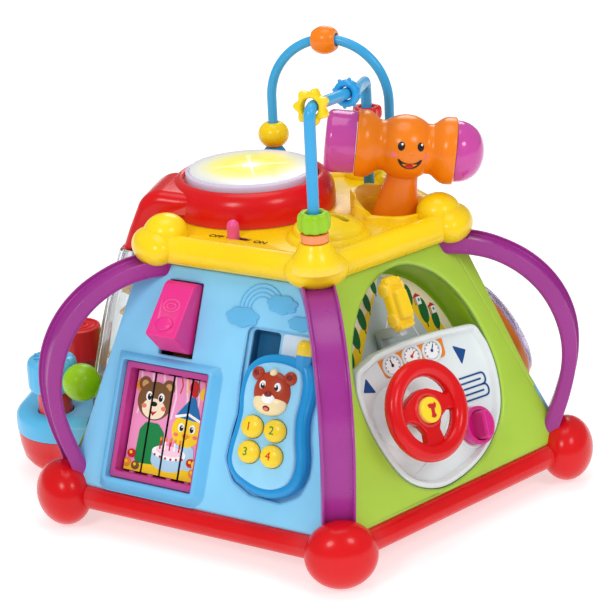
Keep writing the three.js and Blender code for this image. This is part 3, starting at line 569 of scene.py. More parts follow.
M = {
    "red": plastic("red_plastic", (216, 8, 16), 0.24, spec=0.26),
    "blue": plastic("light_blue_plastic", (136, 208, 246), 0.3),
    "mid": plastic("mid_blue_plastic", (30, 154, 220), 0.24),
    "wire": plastic("wire_blue_plastic", (54, 164, 220), 0.24),
    # darker blue: the colour of the embossed clouds and arcs, and painted shade on the window bezel
    "relief_blue_and_painted_shade": plastic("relief_blue_and_painted_shade_plastic", (98, 184, 232), 0.3),
    "bench_blue": plastic("bench_blue_plastic", (86, 188, 236), 0.3),
    "shelf": plastic("shelf_painted_light_plastic", (222, 238, 250), 0.3),
    # the cream ledges glow a little: painted light that lifts them out of their shade
    "ledge": plastic("cream_ledge_plastic", (250, 208, 140), 0.34, glow=0.2),
    "teal": plastic("deep_well_painted_shade_plastic", (20, 104, 150), 0.34),
    "frame_pink": plastic("frame_pink_plastic", (196, 50, 140), 0.34),
    "green": plastic("green_plastic", (176, 215, 72), 0.3),
    "green_recess_shade": plastic("green_recess_painted_shade_plastic", (138, 182, 24), 0.32),
    "yellow": plastic("yellow_plastic", (252, 212, 4), 0.26),
    "purple": plastic("purple_plastic", (158, 44, 142), 0.28),
    "pink": plastic("pink_plastic", (230, 44, 140), 0.34),
    "car": plastic("car_yellow_plastic", (250, 206, 20), 0.3),
    "slider": plastic("slider_pink_plastic", (236, 84, 150), 0.3),
    "magenta": plastic("key_magenta_plastic", (212, 20, 134), 0.3),
    "orange": plastic("orange_plastic", (242, 128, 10), 0.24),
    "white": plastic("white_plastic", (228, 238, 238), 0.34),
    "lime": plastic("lime_plastic", (152, 206, 14), 0.26),
    "keys": plastic("key_yellow_plastic", (246, 212, 40), 0.26),
    "face": plastic("phone_face_plastic", (150, 214, 248), 0.26),
    "dark": plastic("dark_plastic", (34, 36, 40), 0.4, edge=0.1),
    "board": plastic("board_green", (28, 104, 56), 0.5),
    "ink": plastic("black_print", (22, 20, 24), 0.4, edge=0.0, coat=0.1),
    "navy": plastic("navy_print", (10, 74, 140), 0.4, edge=0.0, coat=0.1),
    "print_white": plastic("white_print", (250, 250, 250), 0.4, edge=0.0, coat=0.1),
    "print_red": plastic("red_print", (200, 24, 30), 0.4, edge=0.0, coat=0.1),
    "print_green": plastic("green_print", (14, 132, 66), 0.4, edge=0.0, coat=0.1),
    "print_dark_green": plastic("dark_green_print", (12, 104, 52), 0.4, edge=0.0, coat=0.1),
    "print_yellow": plastic("yellow_print", (250, 208, 24), 0.4, edge=0.0, coat=0.1),
    "print_orange": plastic("orange_print", (236, 140, 44), 0.4, edge=0.0, coat=0.1),
    "print_grey": plastic("grey_print", (192, 204, 208), 0.4, edge=0.0, coat=0.1),
    "print_pink": plastic("pink_print", (240, 150, 196), 0.4, edge=0.0, coat=0.1),
    "print_pale_pink": plastic("pale_pink_print", (250, 206, 226), 0.4, edge=0.0, coat=0.1),
    "print_brown": plastic("brown_print", (122, 84, 46), 0.4, edge=0.0, coat=0.1),
    "print_tan": plastic("tan_print", (206, 158, 100), 0.4, edge=0.0, coat=0.1),
    "print_cream": plastic("cream_print", (252, 232, 200), 0.4, edge=0.0, coat=0.1),
    "print_blue": plastic("blue_print", (20, 112, 176), 0.4, edge=0.0, coat=0.1),
    "print_sky": plastic("sky_print", (176, 214, 238), 0.4, edge=0.0, coat=0.1),
    "cheek": plastic("cheek_print", (240, 122, 110), 0.4, edge=0.0, coat=0.1),
    "bear": plastic("bear_brown_plastic", (176, 58, 26), 0.3),
    "bear_cream": plastic("bear_cream_plastic", (246, 226, 176), 0.3),
    "bear_deep": plastic("bear_deep_plastic", (128, 30, 22), 0.3),
}


def violet(name, rgb, rough=0.12):
    # a faint glow: painted light in the clear caps
    mat = plastic(name, rgb, rough, coat=0.6, clear=0.5, grain=0.02, edge=0.0, spec=0.5, glow=0.06)
    mat.node_tree.nodes["Principled BSDF"].inputs["IOR"].default_value = 1.3
    return mat


M["violet"] = violet("violet_clear_plastic", (222, 92, 186))
# the rattle cores glow a little: painted light
M["core"] = plastic("rattle_core_plastic", (228, 120, 200), 0.3, mottle=0.25, glow=0.12)


def clear_plastic(name, rgb, weight=0.9):
    mat = bpy.data.materials.new(name)
    mat.use_nodes = True
    t = mat.node_tree
    shader = t.nodes["Principled BSDF"]
    coords = node(t, "ShaderNodeTexCoord", (-900, 0))
    smear = node(t, "ShaderNodeTexNoise", (-700, 0), Scale=30.0, Detail=4.0)
    t.links.new(coords.outputs["Object"], smear.inputs["Vector"])
    gloss = node(t, "ShaderNodeMapRange", (-450, 0))
    gloss.inputs["To Min"].default_value = 0.04
    gloss.inputs["To Max"].default_value = 0.12
    t.links.new(smear.outputs["Fac"], gloss.inputs["Value"])
    t.links.new(gloss.outputs["Result"], shader.inputs["Roughness"])
    tint = node(t, "ShaderNodeValToRGB", (-450, 260))
    tint.color_ramp.elements[0].color = (*[c * 0.96 for c in linear(rgb)], 1)
    tint.color_ramp.elements[1].color = (*linear(rgb), 1)
    t.links.new(smear.outputs["Fac"], tint.inputs["Fac"])
    t.links.new(tint.outputs["Color"], shader.inputs["Base Color"])
    bump = node(t, "ShaderNodeBump", (-300, -260), Strength=0.01, Distance=0.0004)
    t.links.new(smear.outputs["Fac"], bump.inputs["Height"])
    t.links.new(bump.outputs["Normal"], shader.inputs["Normal"])
    shader.inputs["Transmission Weight"].default_value = weight
    shader.inputs["IOR"].default_value = 1.18
    shader.inputs["Coat Weight"].default_value = 0.5
    return mat


M["clear"] = clear_plastic("clear_plastic", (240, 244, 248), 0.97)
M["lilac_clear"] = clear_plastic("lilac_clear_plastic", (226, 214, 240), 0.8)


# ---------------------------------------------------------------- base, handles
CORNER_R = 170.13
SIDE_APOTHEM = CORNER_R * cosd(36)


def base_parts():
    parts = []
    for azimuth in CORNERS.values():
        parts.append(ellipsoid(17, 22, 21, corner_frame(azimuth, CORNER_R, 21.5)))
    half = CORNER_R * sind(36)
    for azimuth in FACES.values():
        a = radial(azimuth, SIDE_APOTHEM, -half + 8, 21.5)
        b = radial(azimuth, SIDE_APOTHEM, half - 8, 21.5)
        parts.append(tube([a.lerp(b, i / 8) for i in range(9)], 7.25, 48))
        section = fillet([(-14, -1.5), (1, -1.5), (1, 6), (-2, 6), (-2, 1.5), (-14, 1.5)], 0.5, 2)
        out = radial(azimuth, 1, 0, 0)
        rings = [[radial(azimuth, SIDE_APOTHEM - 4, t, 14) + out * x + UP * y for x, y in section]
                 for t in (-half + 16, half - 16)]
        parts.append(loft(rings))
    return join(*parts)


piece("base_ring", [(base_parts(), M["red"])], stands_for=["base_frame"])

HANDLE_OUTER = [(86, 165.5), (100, 165.8), (113, 165), (128, 161), (145.5, 152.5), (160, 140), (170.5, 124),
                (176.3, 105), (176.8, 84), (172.8, 62), (167, 42), (165, 34)]
HANDLE_INNER = [(86, 153), (98, 154.4), (110, 154.2), (125, 151), (140, 143.2), (153, 131), (162.2, 115),
                (167, 97), (166.8, 79), (162, 59), (156, 41.5), (154, 34)]


def handle_section():
    """Contour of a handle: (side, height from the inner or the outer face, which face)."""
    pts = []
    for a in (180, 205, 230, 250, 270):
        pts.append((-10 + 3.2 + 3.2 * cosd(a), 3.2 + 3.2 * sind(a), 0))
    for x in (-4, 0, 4):
        pts.append((x, -0.15, 0))
    for a in (270, 290, 310, 335, 360):
        pts.append((10 - 3.2 + 3.2 * cosd(a), 3.2 + 3.2 * sind(a), 0))
    right = []
    for a in (0, 30, 60, 90):
        right.append((9.3 + 0.7 * cosd(a), 0.7 - 0.7 * sind(a), 1))
    for a in (90, 120, 150, 180):
        right.append((9.0 + 0.6 * cosd(a), 0.6 - 0.6 * sind(a), 1))
    for a in (0, -30, -60, -90):
        right.append((7.3 + 1.1 * cosd(a), 1.7 - 1.1 * sind(a), 1))
    right += [(4.5, 2.9, 1), (2, 2.95, 1)]
    pts += right + [(0, 2.95, 1)] + [(-x, y, k) for x, y, k in right[::-1]]
    return pts


def handle_parts(azimuth):
    outer = catmull([Vector((r, 0, z)) for r, z in HANDLE_OUTER], 72)
    inner = catmull([Vector((r, 0, z)) for r, z in HANDLE_INNER], 72)
    section = handle_section()
    rings = []
    for i in range(72):
        a, b = inner[i], outer[i]
        d = (b - a).normalized()
        ring = []
        for s, h, top in section:
            p = b - d * h if top else a + d * h
            ring.append(radial(azimuth, p.x, s, p.z))
        rings.append(ring)
    return loft(rings)


for corner, azimuth in CORNERS.items():
    piece(f"grab_handle_{corner}", [(handle_parts(azimuth), M["purple"])],
          stands_for=[f"handle_{corner}"], angle=50)


# ---------------------------------------------------------------- panels
PANEL_V0, PANEL_V1 = 1.7, 147.5


def panel(face, holes=(), bevel=2.4, deep=4.0, edge=None, lip=0.9):
    """The face plate: its slanted sides follow the mitre with the next plate."""
    rows = 12
    left = [(-1, PANEL_V0 + (PANEL_V1 - PANEL_V0) * i / rows) for i in range(rows + 1)][::-1]
    right = [(1, v) for _, v in left[::-1]]
    outline = [(s * half_width(v, 0), v) for s, v in right + left]

    def ring(loop, w, inset):
        pts = []
        for u, v in loop:
            v2 = min(max(v, PANEL_V0 + inset), PANEL_V1 - inset * 0.4)
            s = 1 if u > 0 else -1
            wide = edge if (edge and s > 0) else bevel
            pts.append((s * (half_width(v2, w) - inset * wide / bevel), v2))
        return pts

    return slab(outline, -deep, 0, F[face], holes=holes, bevel=bevel, hole_bevel=lip, ring=ring, steps=6)


def pocket(face, outline, depth, wall=1.6, m=None, top=-0.8, hole=None):
    """An open bucket behind a hole: floor at -depth, with a hole in the floor if one is given."""
    outline = ccw(outline)
    outer = grow(outline, wall)
    soft = 1.2
    path = [(outer, -depth - wall), (outer, top), (outline, top)]
    loops = [[Vector((p[0], p[1], w)) for p in loop] for loop, w in path]
    for k in range(6):
        a = math.radians(90 * k / 5)
        loops.append([Vector((p[0], p[1], -depth + soft * (1 - math.sin(a))))
                      for p in grow(outline, -soft * (1 - math.cos(a)))])
    verts, faces = loft(loops, caps=False)
    n = len(outline)
    last = (len(loops) - 1) * n
    under, over_floor = [loops[0]], [loops[-1]]
    under_index, over_index = list(range(n)), list(range(last, last + n))
    if hole:
        hole = ccw(hole)
        h = len(hole)
        start = len(verts)
        verts += [Vector((p[0], p[1], -depth)) for p in hole] + [Vector((p[0], p[1], -depth - wall))
                for p in hole]
        over_floor.append(verts[start:start + h])
        under.append(verts[start + h:])
        over_index += list(range(start, start + h))
        under_index += list(range(start + h, start + 2 * h))
        faces += [(start + i, start + (i + 1) % h, start + h + (i + 1) % h, start + h + i) for i in range(h)]
    faces += [tuple(under_index[i] for i in f) for f in fill(under, False)]
    faces += [tuple(over_index[i] for i in f) for f in fill(over_floor, True)]
    return put((verts, faces), F[face] if m is None else m)


PHONE_OUTLINE = ccw([(p.x, p.y) for p in catmull([Vector((x, y, 0)) for x, y in [
    (19.2, 84), (22, 94), (28.6, 100.4), (39, 103.8), (53, 103.4), (62.6, 100), (66.8, 91), (67.4, 80),
    (66.4, 68), (68, 56), (70.6, 45), (70.4, 35), (66, 25.6), (55.4, 19.4), (45, 18.4), (35, 20.6),
    (23.6, 26.2), (17.8, 35), (17.4, 45), (19, 56), (20, 66), (19, 75)]], 96, True)])
CRADLE = fillet([(15.4, 117.5), (15.4, 88), (16.4, 76), (17.2, 64), (15.4, 52), (14.2, 36), (21, 24),
                 (34.6, 17.4), (56, 16.4), (68.6, 23), (73.2, 35), (73, 47), (70.2, 58), (69.4, 70), (70, 84),
                 (68.4, 94), (64.5, 102), (62.5, 108), (62.5, 117.5)],
                 [4, 3, 6, 8, 8, 10, 8, 8, 8, 8, 10, 8, 8, 8, 8, 8, 6, 3, 4], 6)
DEEP_WELL = rect(17.4, 37, 88, 116.2, 2.6, 5)
WINDOW = rect(-67.5, -4.5, 10.7, 84.4, 1.0, 3)
ROCKER_HOLE = rect(-45.2, -20.8, 91.4, 138.0, 0.8, 3)


def flange(face, side, low, high, reach):
    """A thin edge that carries a face plate a little past the corner of the body."""
    rows = [low + (high - low) * i / 16 for i in range(17)]
    near = [(side * (half_width(v, 0) - 4), v) for v in rows]
    far = [(side * (half_width(v, 0) - 0.6 + reach * (v - low) / (high - low)), v) for v in rows]
    return slab(near + far[::-1], -4.6, 0.05, F[face], bevel=1.7, steps=5)


phone_panel = join(
    panel("phone", holes=[CRADLE, WINDOW, ROCKER_HOLE], bevel=2.6, lip=1.6),
    pocket("phone", CRADLE, 4.2, hole=DEEP_WELL),
    flange("phone", -1, 30, 141, 12),
)
# the deep well is coloured dark teal: painted shade inside the hole
deep_well = pocket("phone", grow(ccw(DEEP_WELL), 0.1), 13.0, wall=0.8, top=-5.0)


def ridge(points, width, height, m, base=-0.4):
    """A half-round raised line with round ends."""
    steps = 8
    out = []
    n = len(points)
    pts = [Vector((p[0], p[1], 0)) for p in points]
    rings = []
    lengths = [0.0]
    for a, b in zip(pts, pts[1:]):
        lengths.append(lengths[-1] + (b - a).length)
    for i, p in enumerate(pts):
        t = (pts[min(i + 1, n - 1)] - pts[max(i - 1, 0)]).normalized()
        side = Vector((t.y, -t.x, 0))
        near = min(lengths[i], lengths[-1] - lengths[i])
        r = width / 2
        k = 1 if near >= r else max(0.15, math.sqrt(max(0, 1 - (1 - near / r) ** 2)))
        section = [(k * r * math.cos(math.pi * j / steps), k * height * math.sin(math.pi * j / steps))
                   for j in range(steps + 1)]
        section += [(-k * r, base), (k * r, base)]
        rings.append([m @ (p + side * a + Vector((0, 0, b))) for a, b in section])
    return loft(rings)


def bow(cu, cv, r, a0, a1, n=40):
    return [(cu + r * cosd(a0 + (a1 - a0) * i / (n - 1)),
             cv + r * sind(a0 + (a1 - a0) * i / (n - 1))) for i in range(n)]


def cloud(cu, cv, wide, high, puffs=7):
    """A cloud outline with a scalloped edge."""
    pts = []
    for i in range(84):
        a = 2 * math.pi * i / 84
        r = 0.86 + 0.14 * abs(math.sin(puffs * a / 2 + 0.5))
        pts.append((cu + wide / 2 * r * math.cos(a), cv + high / 2 * r * math.sin(a)))
    return pts


embossed = []
for r in (15.4, 12.8, 10.2, 7.6):
    embossed.append(ridge(bow(23, 128.4, r, 18, 184, 48), 0.9, 0.6, F["phone"]))
for cu, cv, wide, high in ((10.8, 122.2, 24, 12.8), (36.8, 133.2, 22, 12.2), (51.4, 123.4, 19, 9.6)):
    embossed.append(slab(cloud(cu, cv, wide, high), -0.5, 1.3, F["phone"], bevel=1.1, steps=4))

# window bezel: a soft raised rim in a darker blue that paints the shade on its slopes, trimmed straight along
# its left and upper outer edges
BEZEL_LEFT, BEZEL_TOP = -72.6, 89.4
bezel_section = [(-8.6, -0.5), (-8.6, 0.0), (-7.4, 0.3), (-3.2, 3.2), (-2.0, 3.8), (-0.8, 3.8), (0.0, 3.2),
                 (0.0, -3.6)]
bezel_path = ccw(rect(-67.5, -4.5, 10.7, 84.4, 1.6, 4))


def frame_around(path, section, m):
    """Closed moulding around an anticlockwise path; across is measured inwards from the path."""
    loops = []
    for across, up in section:
        loops.append([Vector((p[0], p[1], up)) for p in grow(path, -across)])
    n = len(path)
    verts = [v for loop in loops for v in loop]
    faces = []
    count = len(loops)
    for s in range(count):
        a, b = s * n, ((s + 1) % count) * n
        for i in range(n):
            j = (i + 1) % n
            faces.append((a + i, a + j, b + j, b + i))
    return put((verts, faces), m)


bezel = frame_around(bezel_path, bezel_section, Matrix())
bezel = put(([Vector((max(v.x, BEZEL_LEFT), min(v.y, BEZEL_TOP), v.z)) for v in bezel[0]], bezel[1]),
            F["phone"])
# the antenna shelf is a paler blue: painted light on the lit floor of the pocket
antenna_shelf = slab(rect(38.6, 61.6, 92, 116.2, 2.0, 5), -4.6, -3.9, F["phone"], bevel=0.3)
piece("phone_side", [(phone_panel, M["blue"]), (join(bezel, *embossed), M["relief_blue_and_painted_shade"]),
                     (deep_well, M["teal"]), (antenna_shelf, M["shelf"])],
      stands_for=["panel_phone"])

# ---------------------------------------------------------------- driving side
ROAD = ccw([(p.x, p.y) for p in catmull([Vector((x, y, 0)) for x, y in [
    (13.5, 142), (35, 131), (51, 110), (59, 86), (61, 60), (53.4, 35), (32, 15.5), (4.6, 6.4), (-17, 6.4),
    (-37, 17.5), (-50, 44), (-53.8, 78), (-45, 107), (-26, 131), (-6, 141)]], 110, True)])


def inside_wedge(loop, w, face_margin=0.4):
    """Keeps an outline inside the mitre planes at depth w."""
    out = []
    for u, v in loop:
        limit = half_width(v, w) - face_margin
        out.append((max(-limit, min(limit, u)), v))
    return out


def deep_pocket():
    """The driving recess: walls lean in slightly where the body narrows."""
    loops = []
    shell = []
    for w in (-24.6, -16, -8, -1.0):
        shell.append([Vector((p[0], p[1], w)) for p in inside_wedge(grow(ROAD, 1.6), w, 0.3)])
    inner = []
    for w in (-1.0, -4, -8, -12, -16, -19, -22.4):
        inner.append([Vector((p[0], p[1], w)) for p in inside_wedge(ROAD, w, 1.9)])
    loops = shell + inner
    verts, faces = loft(loops, caps=False)
    n = len(ROAD)
    faces += fill([loops[0]], False)
    faces += fill([loops[-1]], True, (len(loops) - 1) * n)
    return put((verts, faces), F["driving"])


# the recess walls are a darker green: painted shade inside the pocket
piece("driving_side", [(join(panel("driving", holes=[ROAD], bevel=2.6, edge=5.5, lip=2.6),
        flange("driving", 1, 40, 141, 8)), M["green"]), (deep_pocket(), M["green_recess_shade"])],
      stands_for=["panel_driving"])

# ---------------------------------------------------------------- other sides
spinner_holes = [circle(5.6, 32, -22, 52), circle(8.5, 32, -28, 108)]
spinner_detail = [
    frame_around(ccw(circle(43, 72, -22, 52)), [(-1.6, -0.4), (-1.2, 0.6), (0.0, 1.1), (1.2, 0.6),
                                                (1.6, -0.4)], F["spinner"]),
    frame_around(ccw(circle(16.4, 48, -28, 108)), [(-1.4, -0.4), (-1.0, 0.5), (0.0, 0.9), (1.0, 0.5),
                                                   (1.4, -0.4)], F["spinner"]),
]
for cu, cv, wide, high in ((32, 112, 26, 14), (46, 86, 20, 11), (52, 30, 24, 13)):
    spinner_detail.append(slab(cloud(cu, cv, wide, high), -0.5, 1.3, F["spinner"], bevel=1.1, steps=4))
for r in (16, 13, 10):
    spinner_detail.append(ridge(bow(40, 104, r, 20, 160, 40), 0.9, 0.6, F["spinner"]))
piece("spinner_side", [(join(panel("spinner", spinner_holes), *spinner_detail), M["blue"])],
      stands_for=["panel_spinner"])

back_holes = [rect(-(20 - 4 * abs(i)), 20 - 4 * abs(i), 73.6 + i * 8, 76.4 + i * 8, 1.3, 4)
              for i in range(-2, 3)]
back_detail = [frame_around(ccw(rect(-28, 28, 50, 100, 14, 8)),
                            [(-1.5, -0.4), (-1.1, 0.5), (0, 1.0), (1.1, 0.5), (1.5, -0.4)],
                            F["back"])]
for r in (30, 25, 20):
    back_detail.append(ridge(bow(0, 108, r, 20, 160, 40), 1.8, 0.9, F["back"]))
piece("back_side", [(join(panel("back", back_holes), *back_detail), M["yellow"])],
      stands_for=["panel_back"])

ledges = []
for v, reach, turn in ((34, 7, 8), (58, 13, -8), (82, 17, 8), (106, 19, -8)):
    m = F["track"] @ shift(-4 if turn > 0 else 4, v, 0) @ spin(turn)
    ledges.append(solid_box(-19, 19, -1.5, 1.5, -1, reach, m, r=0.8, bevel=0.7))
piece("track_side", [(panel("track", [circle(5.2, 32, 50, 44)]), M["green"]), (join(*ledges), M["ledge"])],
      stands_for=["panel_track"])

# ---------------------------------------------------------------- phone
PF = F["phone"]
SHELL = grow(PHONE_OUTLINE, -0.2)


def key_hole(u, v):
    return circle(7.65, 40, u, v, 7.1)


KEYS = [(34.3, 58.9), (50.1, 58.8), (34.7, 43.8), (50.4, 43.6)]
phone_shell = slab(SHELL, -3.7, 5.2, PF, bevel=3.4, back=1.2, steps=7)
face_outline = grow(PHONE_OUTLINE, -5.4)
face_plate = slab(face_outline, 4.6, 8.0, PF, holes=[key_hole(u, v) for u, v in KEYS], bevel=1.5,
                  hole_bevel=0.12, steps=5)
piece("phone_shell", [(phone_shell, M["mid"])], body="phone",
      stands_for=["phone_body"])


def puff(cu, cv, w, su, sv, sw, m, turn=0.0):
    """A pillow on a face."""
    return ellipsoid(su, sv, sw, m @ shift(cu, cv, w) @ spin(turn), 40, 20)


BEAR_U = 43.6
groups = [(face_plate, M["face"])]
groups.append((puff(BEAR_U, 80.8, 7.6, 12.6, 13.0, 5.0, PF), M["bear"]))
for s in (-1, 1):
    groups.append((puff(BEAR_U + s * 11.0, 90.8, 8.2, 4.2, 4.2, 2.8, PF), M["bear"]))
    groups.append((puff(BEAR_U + s * 11.2, 91.0, 9.8, 2.3, 2.3, 1.6, PF), M["bear_deep"]))
groups.append((puff(BEAR_U, 74.4, 8.8, 11.4, 7.4, 4.2, PF), M["bear_cream"]))
groups.append((puff(BEAR_U, 92.6, 9.6, 2.6, 2.2, 2.0, PF, 20), M["bear_cream"]))
groups.append((puff(BEAR_U, 77.0, 11.0, 5.0, 3.8, 3.0, PF), M["print_white"]))
groups.append((puff(BEAR_U, 79.6, 13.0, 2.5, 1.8, 1.4, PF), M["bear_deep"]))
groups.append((puff(BEAR_U, 71.8, 11.8, 3.0, 2.3, 1.3, PF), M["bear_deep"]))
groups.append((puff(BEAR_U, 71.0, 12.5, 1.7, 1.1, 0.9, PF), M["cheek"]))
for s in (-1, 1):
    groups.append((puff(BEAR_U + s * 5.0, 84.6, 11.6, 2.3, 2.7, 1.1, PF), M["print_white"]))
    groups.append((puff(BEAR_U + s * 4.7, 84.2, 12.3, 1.4, 1.8, 0.8, PF), M["ink"]))
    groups.append((puff(BEAR_U + s * 4.4, 85.0, 12.9, 0.6, 0.7, 0.4, PF), M["print_white"]))
piece("phone_front", groups, body="phone", stands_for=["phone_face"])

antenna_m = PF @ shift(57.4, 0, 1.4) @ spin(-90, "X")
antenna_stub = lathe([(0, 94), (4.4, 94), (4.6, 96), (4.7, 104.6), (4.3, 105.4), (0, 105.4)], 40, antenna_m)
antenna_tip = lathe([(0, 105.2), (4.4, 105.2), (4.8, 105.8), (4.8, 110.4)] + arc(1.2, 110.9, 3.6, 0, 84, 9)
                    + [(0, 114.6)], 40, antenna_m)
piece("phone_aerial", [(antenna_tip, M["keys"]), (antenna_stub, M["mid"])], body="phone",
      stands_for=["phone_antenna"])

for i, (u, v) in enumerate(KEYS):
    pillow = lathe([(0, 7.5), (7.1, 7.5), (7.45, 8.6), (7.3, 9.7), (6.7, 10.8), (5.4, 11.7), (3.5, 12.25),
                    (1.7, 12.45), (0, 12.5)],
                   56, PF @ shift(u, v, 0) @ Matrix.Diagonal((1, 0.92, 1, 1)))
    digit = letters(str(i + 1), 7.0, PF @ shift(u - 0.6, v, 11.9), 0.72, weight=0.0)
    piece(f"phone_button_{i + 1}",
          [(pillow, M["keys"]), (digit, M["print_red"] if i in (0, 3) else M["print_green"])],
          body=f"key_{i + 1}_body", stands_for=[f"phone_key_{i + 1}"])

# ---------------------------------------------------------------- shutter
shutter_outer = rect(-67.1, -4.9, 11.1, 84.0, 1.2, 3)
inner_top = rect(-63.6, -8.0, 15.2, 80.0, 0.8, 3)


def tray(outer, inner, w_back, w_front, floor, m):
    loops = [[Vector((p[0], p[1], w)) for p in loop] for loop, w in (
        (outer, w_back), (outer, w_front - 0.5), (grow(outer, -0.5), w_front), (grow(inner, 0.4), w_front),
        (inner, w_front - 0.4), (inner, floor))]
    verts, faces = loft(loops, caps=False)
    n = len(outer)
    faces += fill([loops[0]], False)
    faces += fill([loops[-1]], True, (len(loops) - 1) * n)
    return put((verts, faces), m)


shutter = tray(ccw(shutter_outer), ccw(inner_top), -19, -0.8, -17.4, PF)
# a dark sheet on the box floor: painted shade showing through the gaps between the slats
backing = slab(rect(-63, -8.6, 15.8, 79.4, 0.5, 2), -17.3, -16.6, PF)
pin_posts = [tube([PF @ Vector((-56.2 + 13.7 * i, v, -9.6)) for v in (a, b)], 2.0, 20) for i in range(4)
             for a, b in ((14.9, 16.2), (79.0, 80.2))]
piece("shutter_box", [(join(shutter, *pin_posts), M["frame_pink"]), (backing, M["dark"])],
      stands_for=["shutter_frame"])


def clip(loop, u0, u1):
    """The part of an outline between two u values."""
    def cut(pts, inside, cross):
        out = []
        for i, p in enumerate(pts):
            q = pts[(i + 1) % len(pts)]
            if inside(p):
                out.append(p)
                if not inside(q):
                    out.append(cross(p, q))
            elif inside(q):
                out.append(cross(p, q))
        return out

    def at(u):
        return lambda p, q: (u, p[1] + (q[1] - p[1]) * (u - p[0]) / (q[0] - p[0]))

    loop = cut(list(loop), lambda p: p[0] >= u0, at(u0))
    if loop:
        loop = cut(loop, lambda p: p[0] <= u1, at(u1))
    tidy = []
    for p in loop:
        if not tidy or math.hypot(p[0] - tidy[-1][0], p[1] - tidy[-1][1]) > 1e-4:
            tidy.append(p)
    if len(tidy) > 2 and math.hypot(tidy[0][0] - tidy[-1][0], tidy[0][1] - tidy[-1][1]) < 1e-4:
        tidy.pop()
    return tidy if len(tidy) > 2 and abs(area(tidy)) > 0.05 else []


def band(points, wide):
    """A printed line of constant width as an outline."""
    pts = [Vector((p[0], p[1])) for p in points]
    left, right = [], []
    for i, p in enumerate(pts):
        t = (pts[min(i + 1, len(pts) - 1)] - pts[max(i - 1, 0)]).normalized()
        s = Vector((-t.y, t.x)) * (wide / 2)
        left.append((p + s).to_tuple())
        right.append((p - s).to_tuple())
    return left + right[::-1]


def party_picture():
    """A generic birthday picture in layers: a bear in a green shirt, a chick in a blue hat, a cake."""
    art = []

    def add(mat, loop):
        art.append((mat, ccw(loop)))

    def blob(mat, u, v, ru, rv=None, n=36):
        add(mat, circle(ru, n, u, v, rv))

    add("print_pink", [(-63, 16), (-8, 16), (-8, 79.4), (-63, 79.4)])
    for k in range(7):
        u = -60 + 8.4 * k
        add("print_pale_pink", band([(u, 79), (u + 2.5, 66), (u + 1, 52)], 1.3))
    for k, mat in enumerate(("print_red", "print_yellow", "print_blue", "print_green", "print_orange",
                             "print_white")):
        u = -30 + 4.1 * k
        add(mat, band([(u, 79), (u + 1.4, 74 - 1.5 * (k % 2)), (u + 0.2, 69)], 0.8))
    # balloon cluster
    for u, v, mat in ((-59, 70, "print_orange"), (-20, 74, "print_red"), (-12, 71, "print_yellow")):
        blob(mat, u, v, 3.4, 4.2)
        add("print_white", band([(u, v - 4), (u + 1, v - 9), (u, v - 13)], 0.4))
    # bear: body, head
    add("print_green", fillet([(-56, 22), (-36, 22), (-37, 43), (-42, 48), (-51, 48), (-55, 43)], 3, 4))
    blob("print_brown", -56, 71.2, 4.6)
    blob("print_brown", -38.5, 71.2, 4.6)
    blob("print_tan", -56, 71.2, 2.4)
    blob("print_tan", -38.5, 71.2, 2.4)
    blob("print_brown", -47.3, 61.5, 12.6, 12.0)
    blob("print_cream", -47.3, 56.6, 8.6, 6.4)
    blob("print_white", -51.8, 64.0, 2.3, 3.0)
    blob("print_white", -42.8, 64.0, 2.3, 3.0)
    blob("ink", -51.4, 63.6, 1.5, 2.1)
    blob("ink", -43.2, 63.6, 1.5, 2.1)
    blob("print_white", -51.0, 64.6, 0.5)
    blob("print_white", -42.8, 64.6, 0.5)
    blob("ink", -47.3, 59.6, 2.2, 1.5)
    add("print_red", [(-50.3, 55.6), (-47.3, 52.2), (-44.3, 55.6), (-47.3, 54.6)])
    blob("cheek", -54.6, 57.6, 1.9, 1.4)
    blob("cheek", -40.0, 57.6, 1.9, 1.4)
    # chick with a party hat
    add("print_sky", fillet([(-30, 20), (-12, 20), (-14, 38), (-28, 38)], 3, 4))
    blob("print_yellow", -21, 47, 10.8, 10.2)
    add("print_blue", fillet([(-31, 54.6), (-11.5, 53.4), (-19, 70)], 0.8, 3))
    add("print_white", band([(-30.6, 54.6), (-21, 57.2), (-11.8, 53.8)], 1.7))
    blob("print_red", -19.1, 70.0, 1.9)
    blob("print_white", -25.2, 48.6, 2.1, 2.8)
    blob("print_white", -17.0, 48.6, 2.1, 2.8)
    blob("ink", -24.8, 48.2, 1.4, 1.9)
    blob("ink", -17.4, 48.2, 1.4, 1.9)
    blob("print_white", -24.4, 49.0, 0.5)
    blob("print_white", -17.0, 49.0, 0.5)
    add("print_orange", [(-24.2, 44.0), (-21.1, 41.0), (-18.0, 44.0), (-21.1, 45.4)])
    blob("cheek", -28.2, 43.8, 1.7, 1.2)
    blob("cheek", -14.2, 43.8, 1.7, 1.2)
    # table, cake, presents
    add("print_yellow", [(-63, 16), (-8, 16), (-8, 21.5), (-20, 23.6), (-40, 22.6), (-63, 21)])
    blob("print_sky", -31, 25.4, 12.4, 5.6)
    add("print_sky", rect(-43.4, -18.6, 25.4, 31.4))
    blob("print_white", -31, 31.4, 12.4, 4.4)
    blob("print_pale_pink", -31, 32.6, 9.6, 3.2)
    for k in range(5):
        u = -38 + 3.5 * k
        add("print_white" if k % 2 else "print_red", rect(u - 0.5, u + 0.5, 33, 38.2))
        blob("print_orange", u, 39.4, 0.75, 1.3, 14)
    for k in range(6):
        blob("print_red", -41 + 4 * k, 29.2 - 1.4 * math.cos((k - 2.5) * 0.6), 0.8, None, 12)
    for u, v, mat in ((-58, 27, "print_red"), (-60.5, 21, "print_orange"), (-54, 20, "print_brown"),
                      (-12, 22, "print_orange"), (-14.5, 28, "print_red"), (-10.6, 27.6, "print_yellow")):
        blob(mat, u, v, 3.0, 2.7, 20)
        blob("print_yellow", u - 0.4, v + 0.6, 1.1, 1.0, 12)
    return art


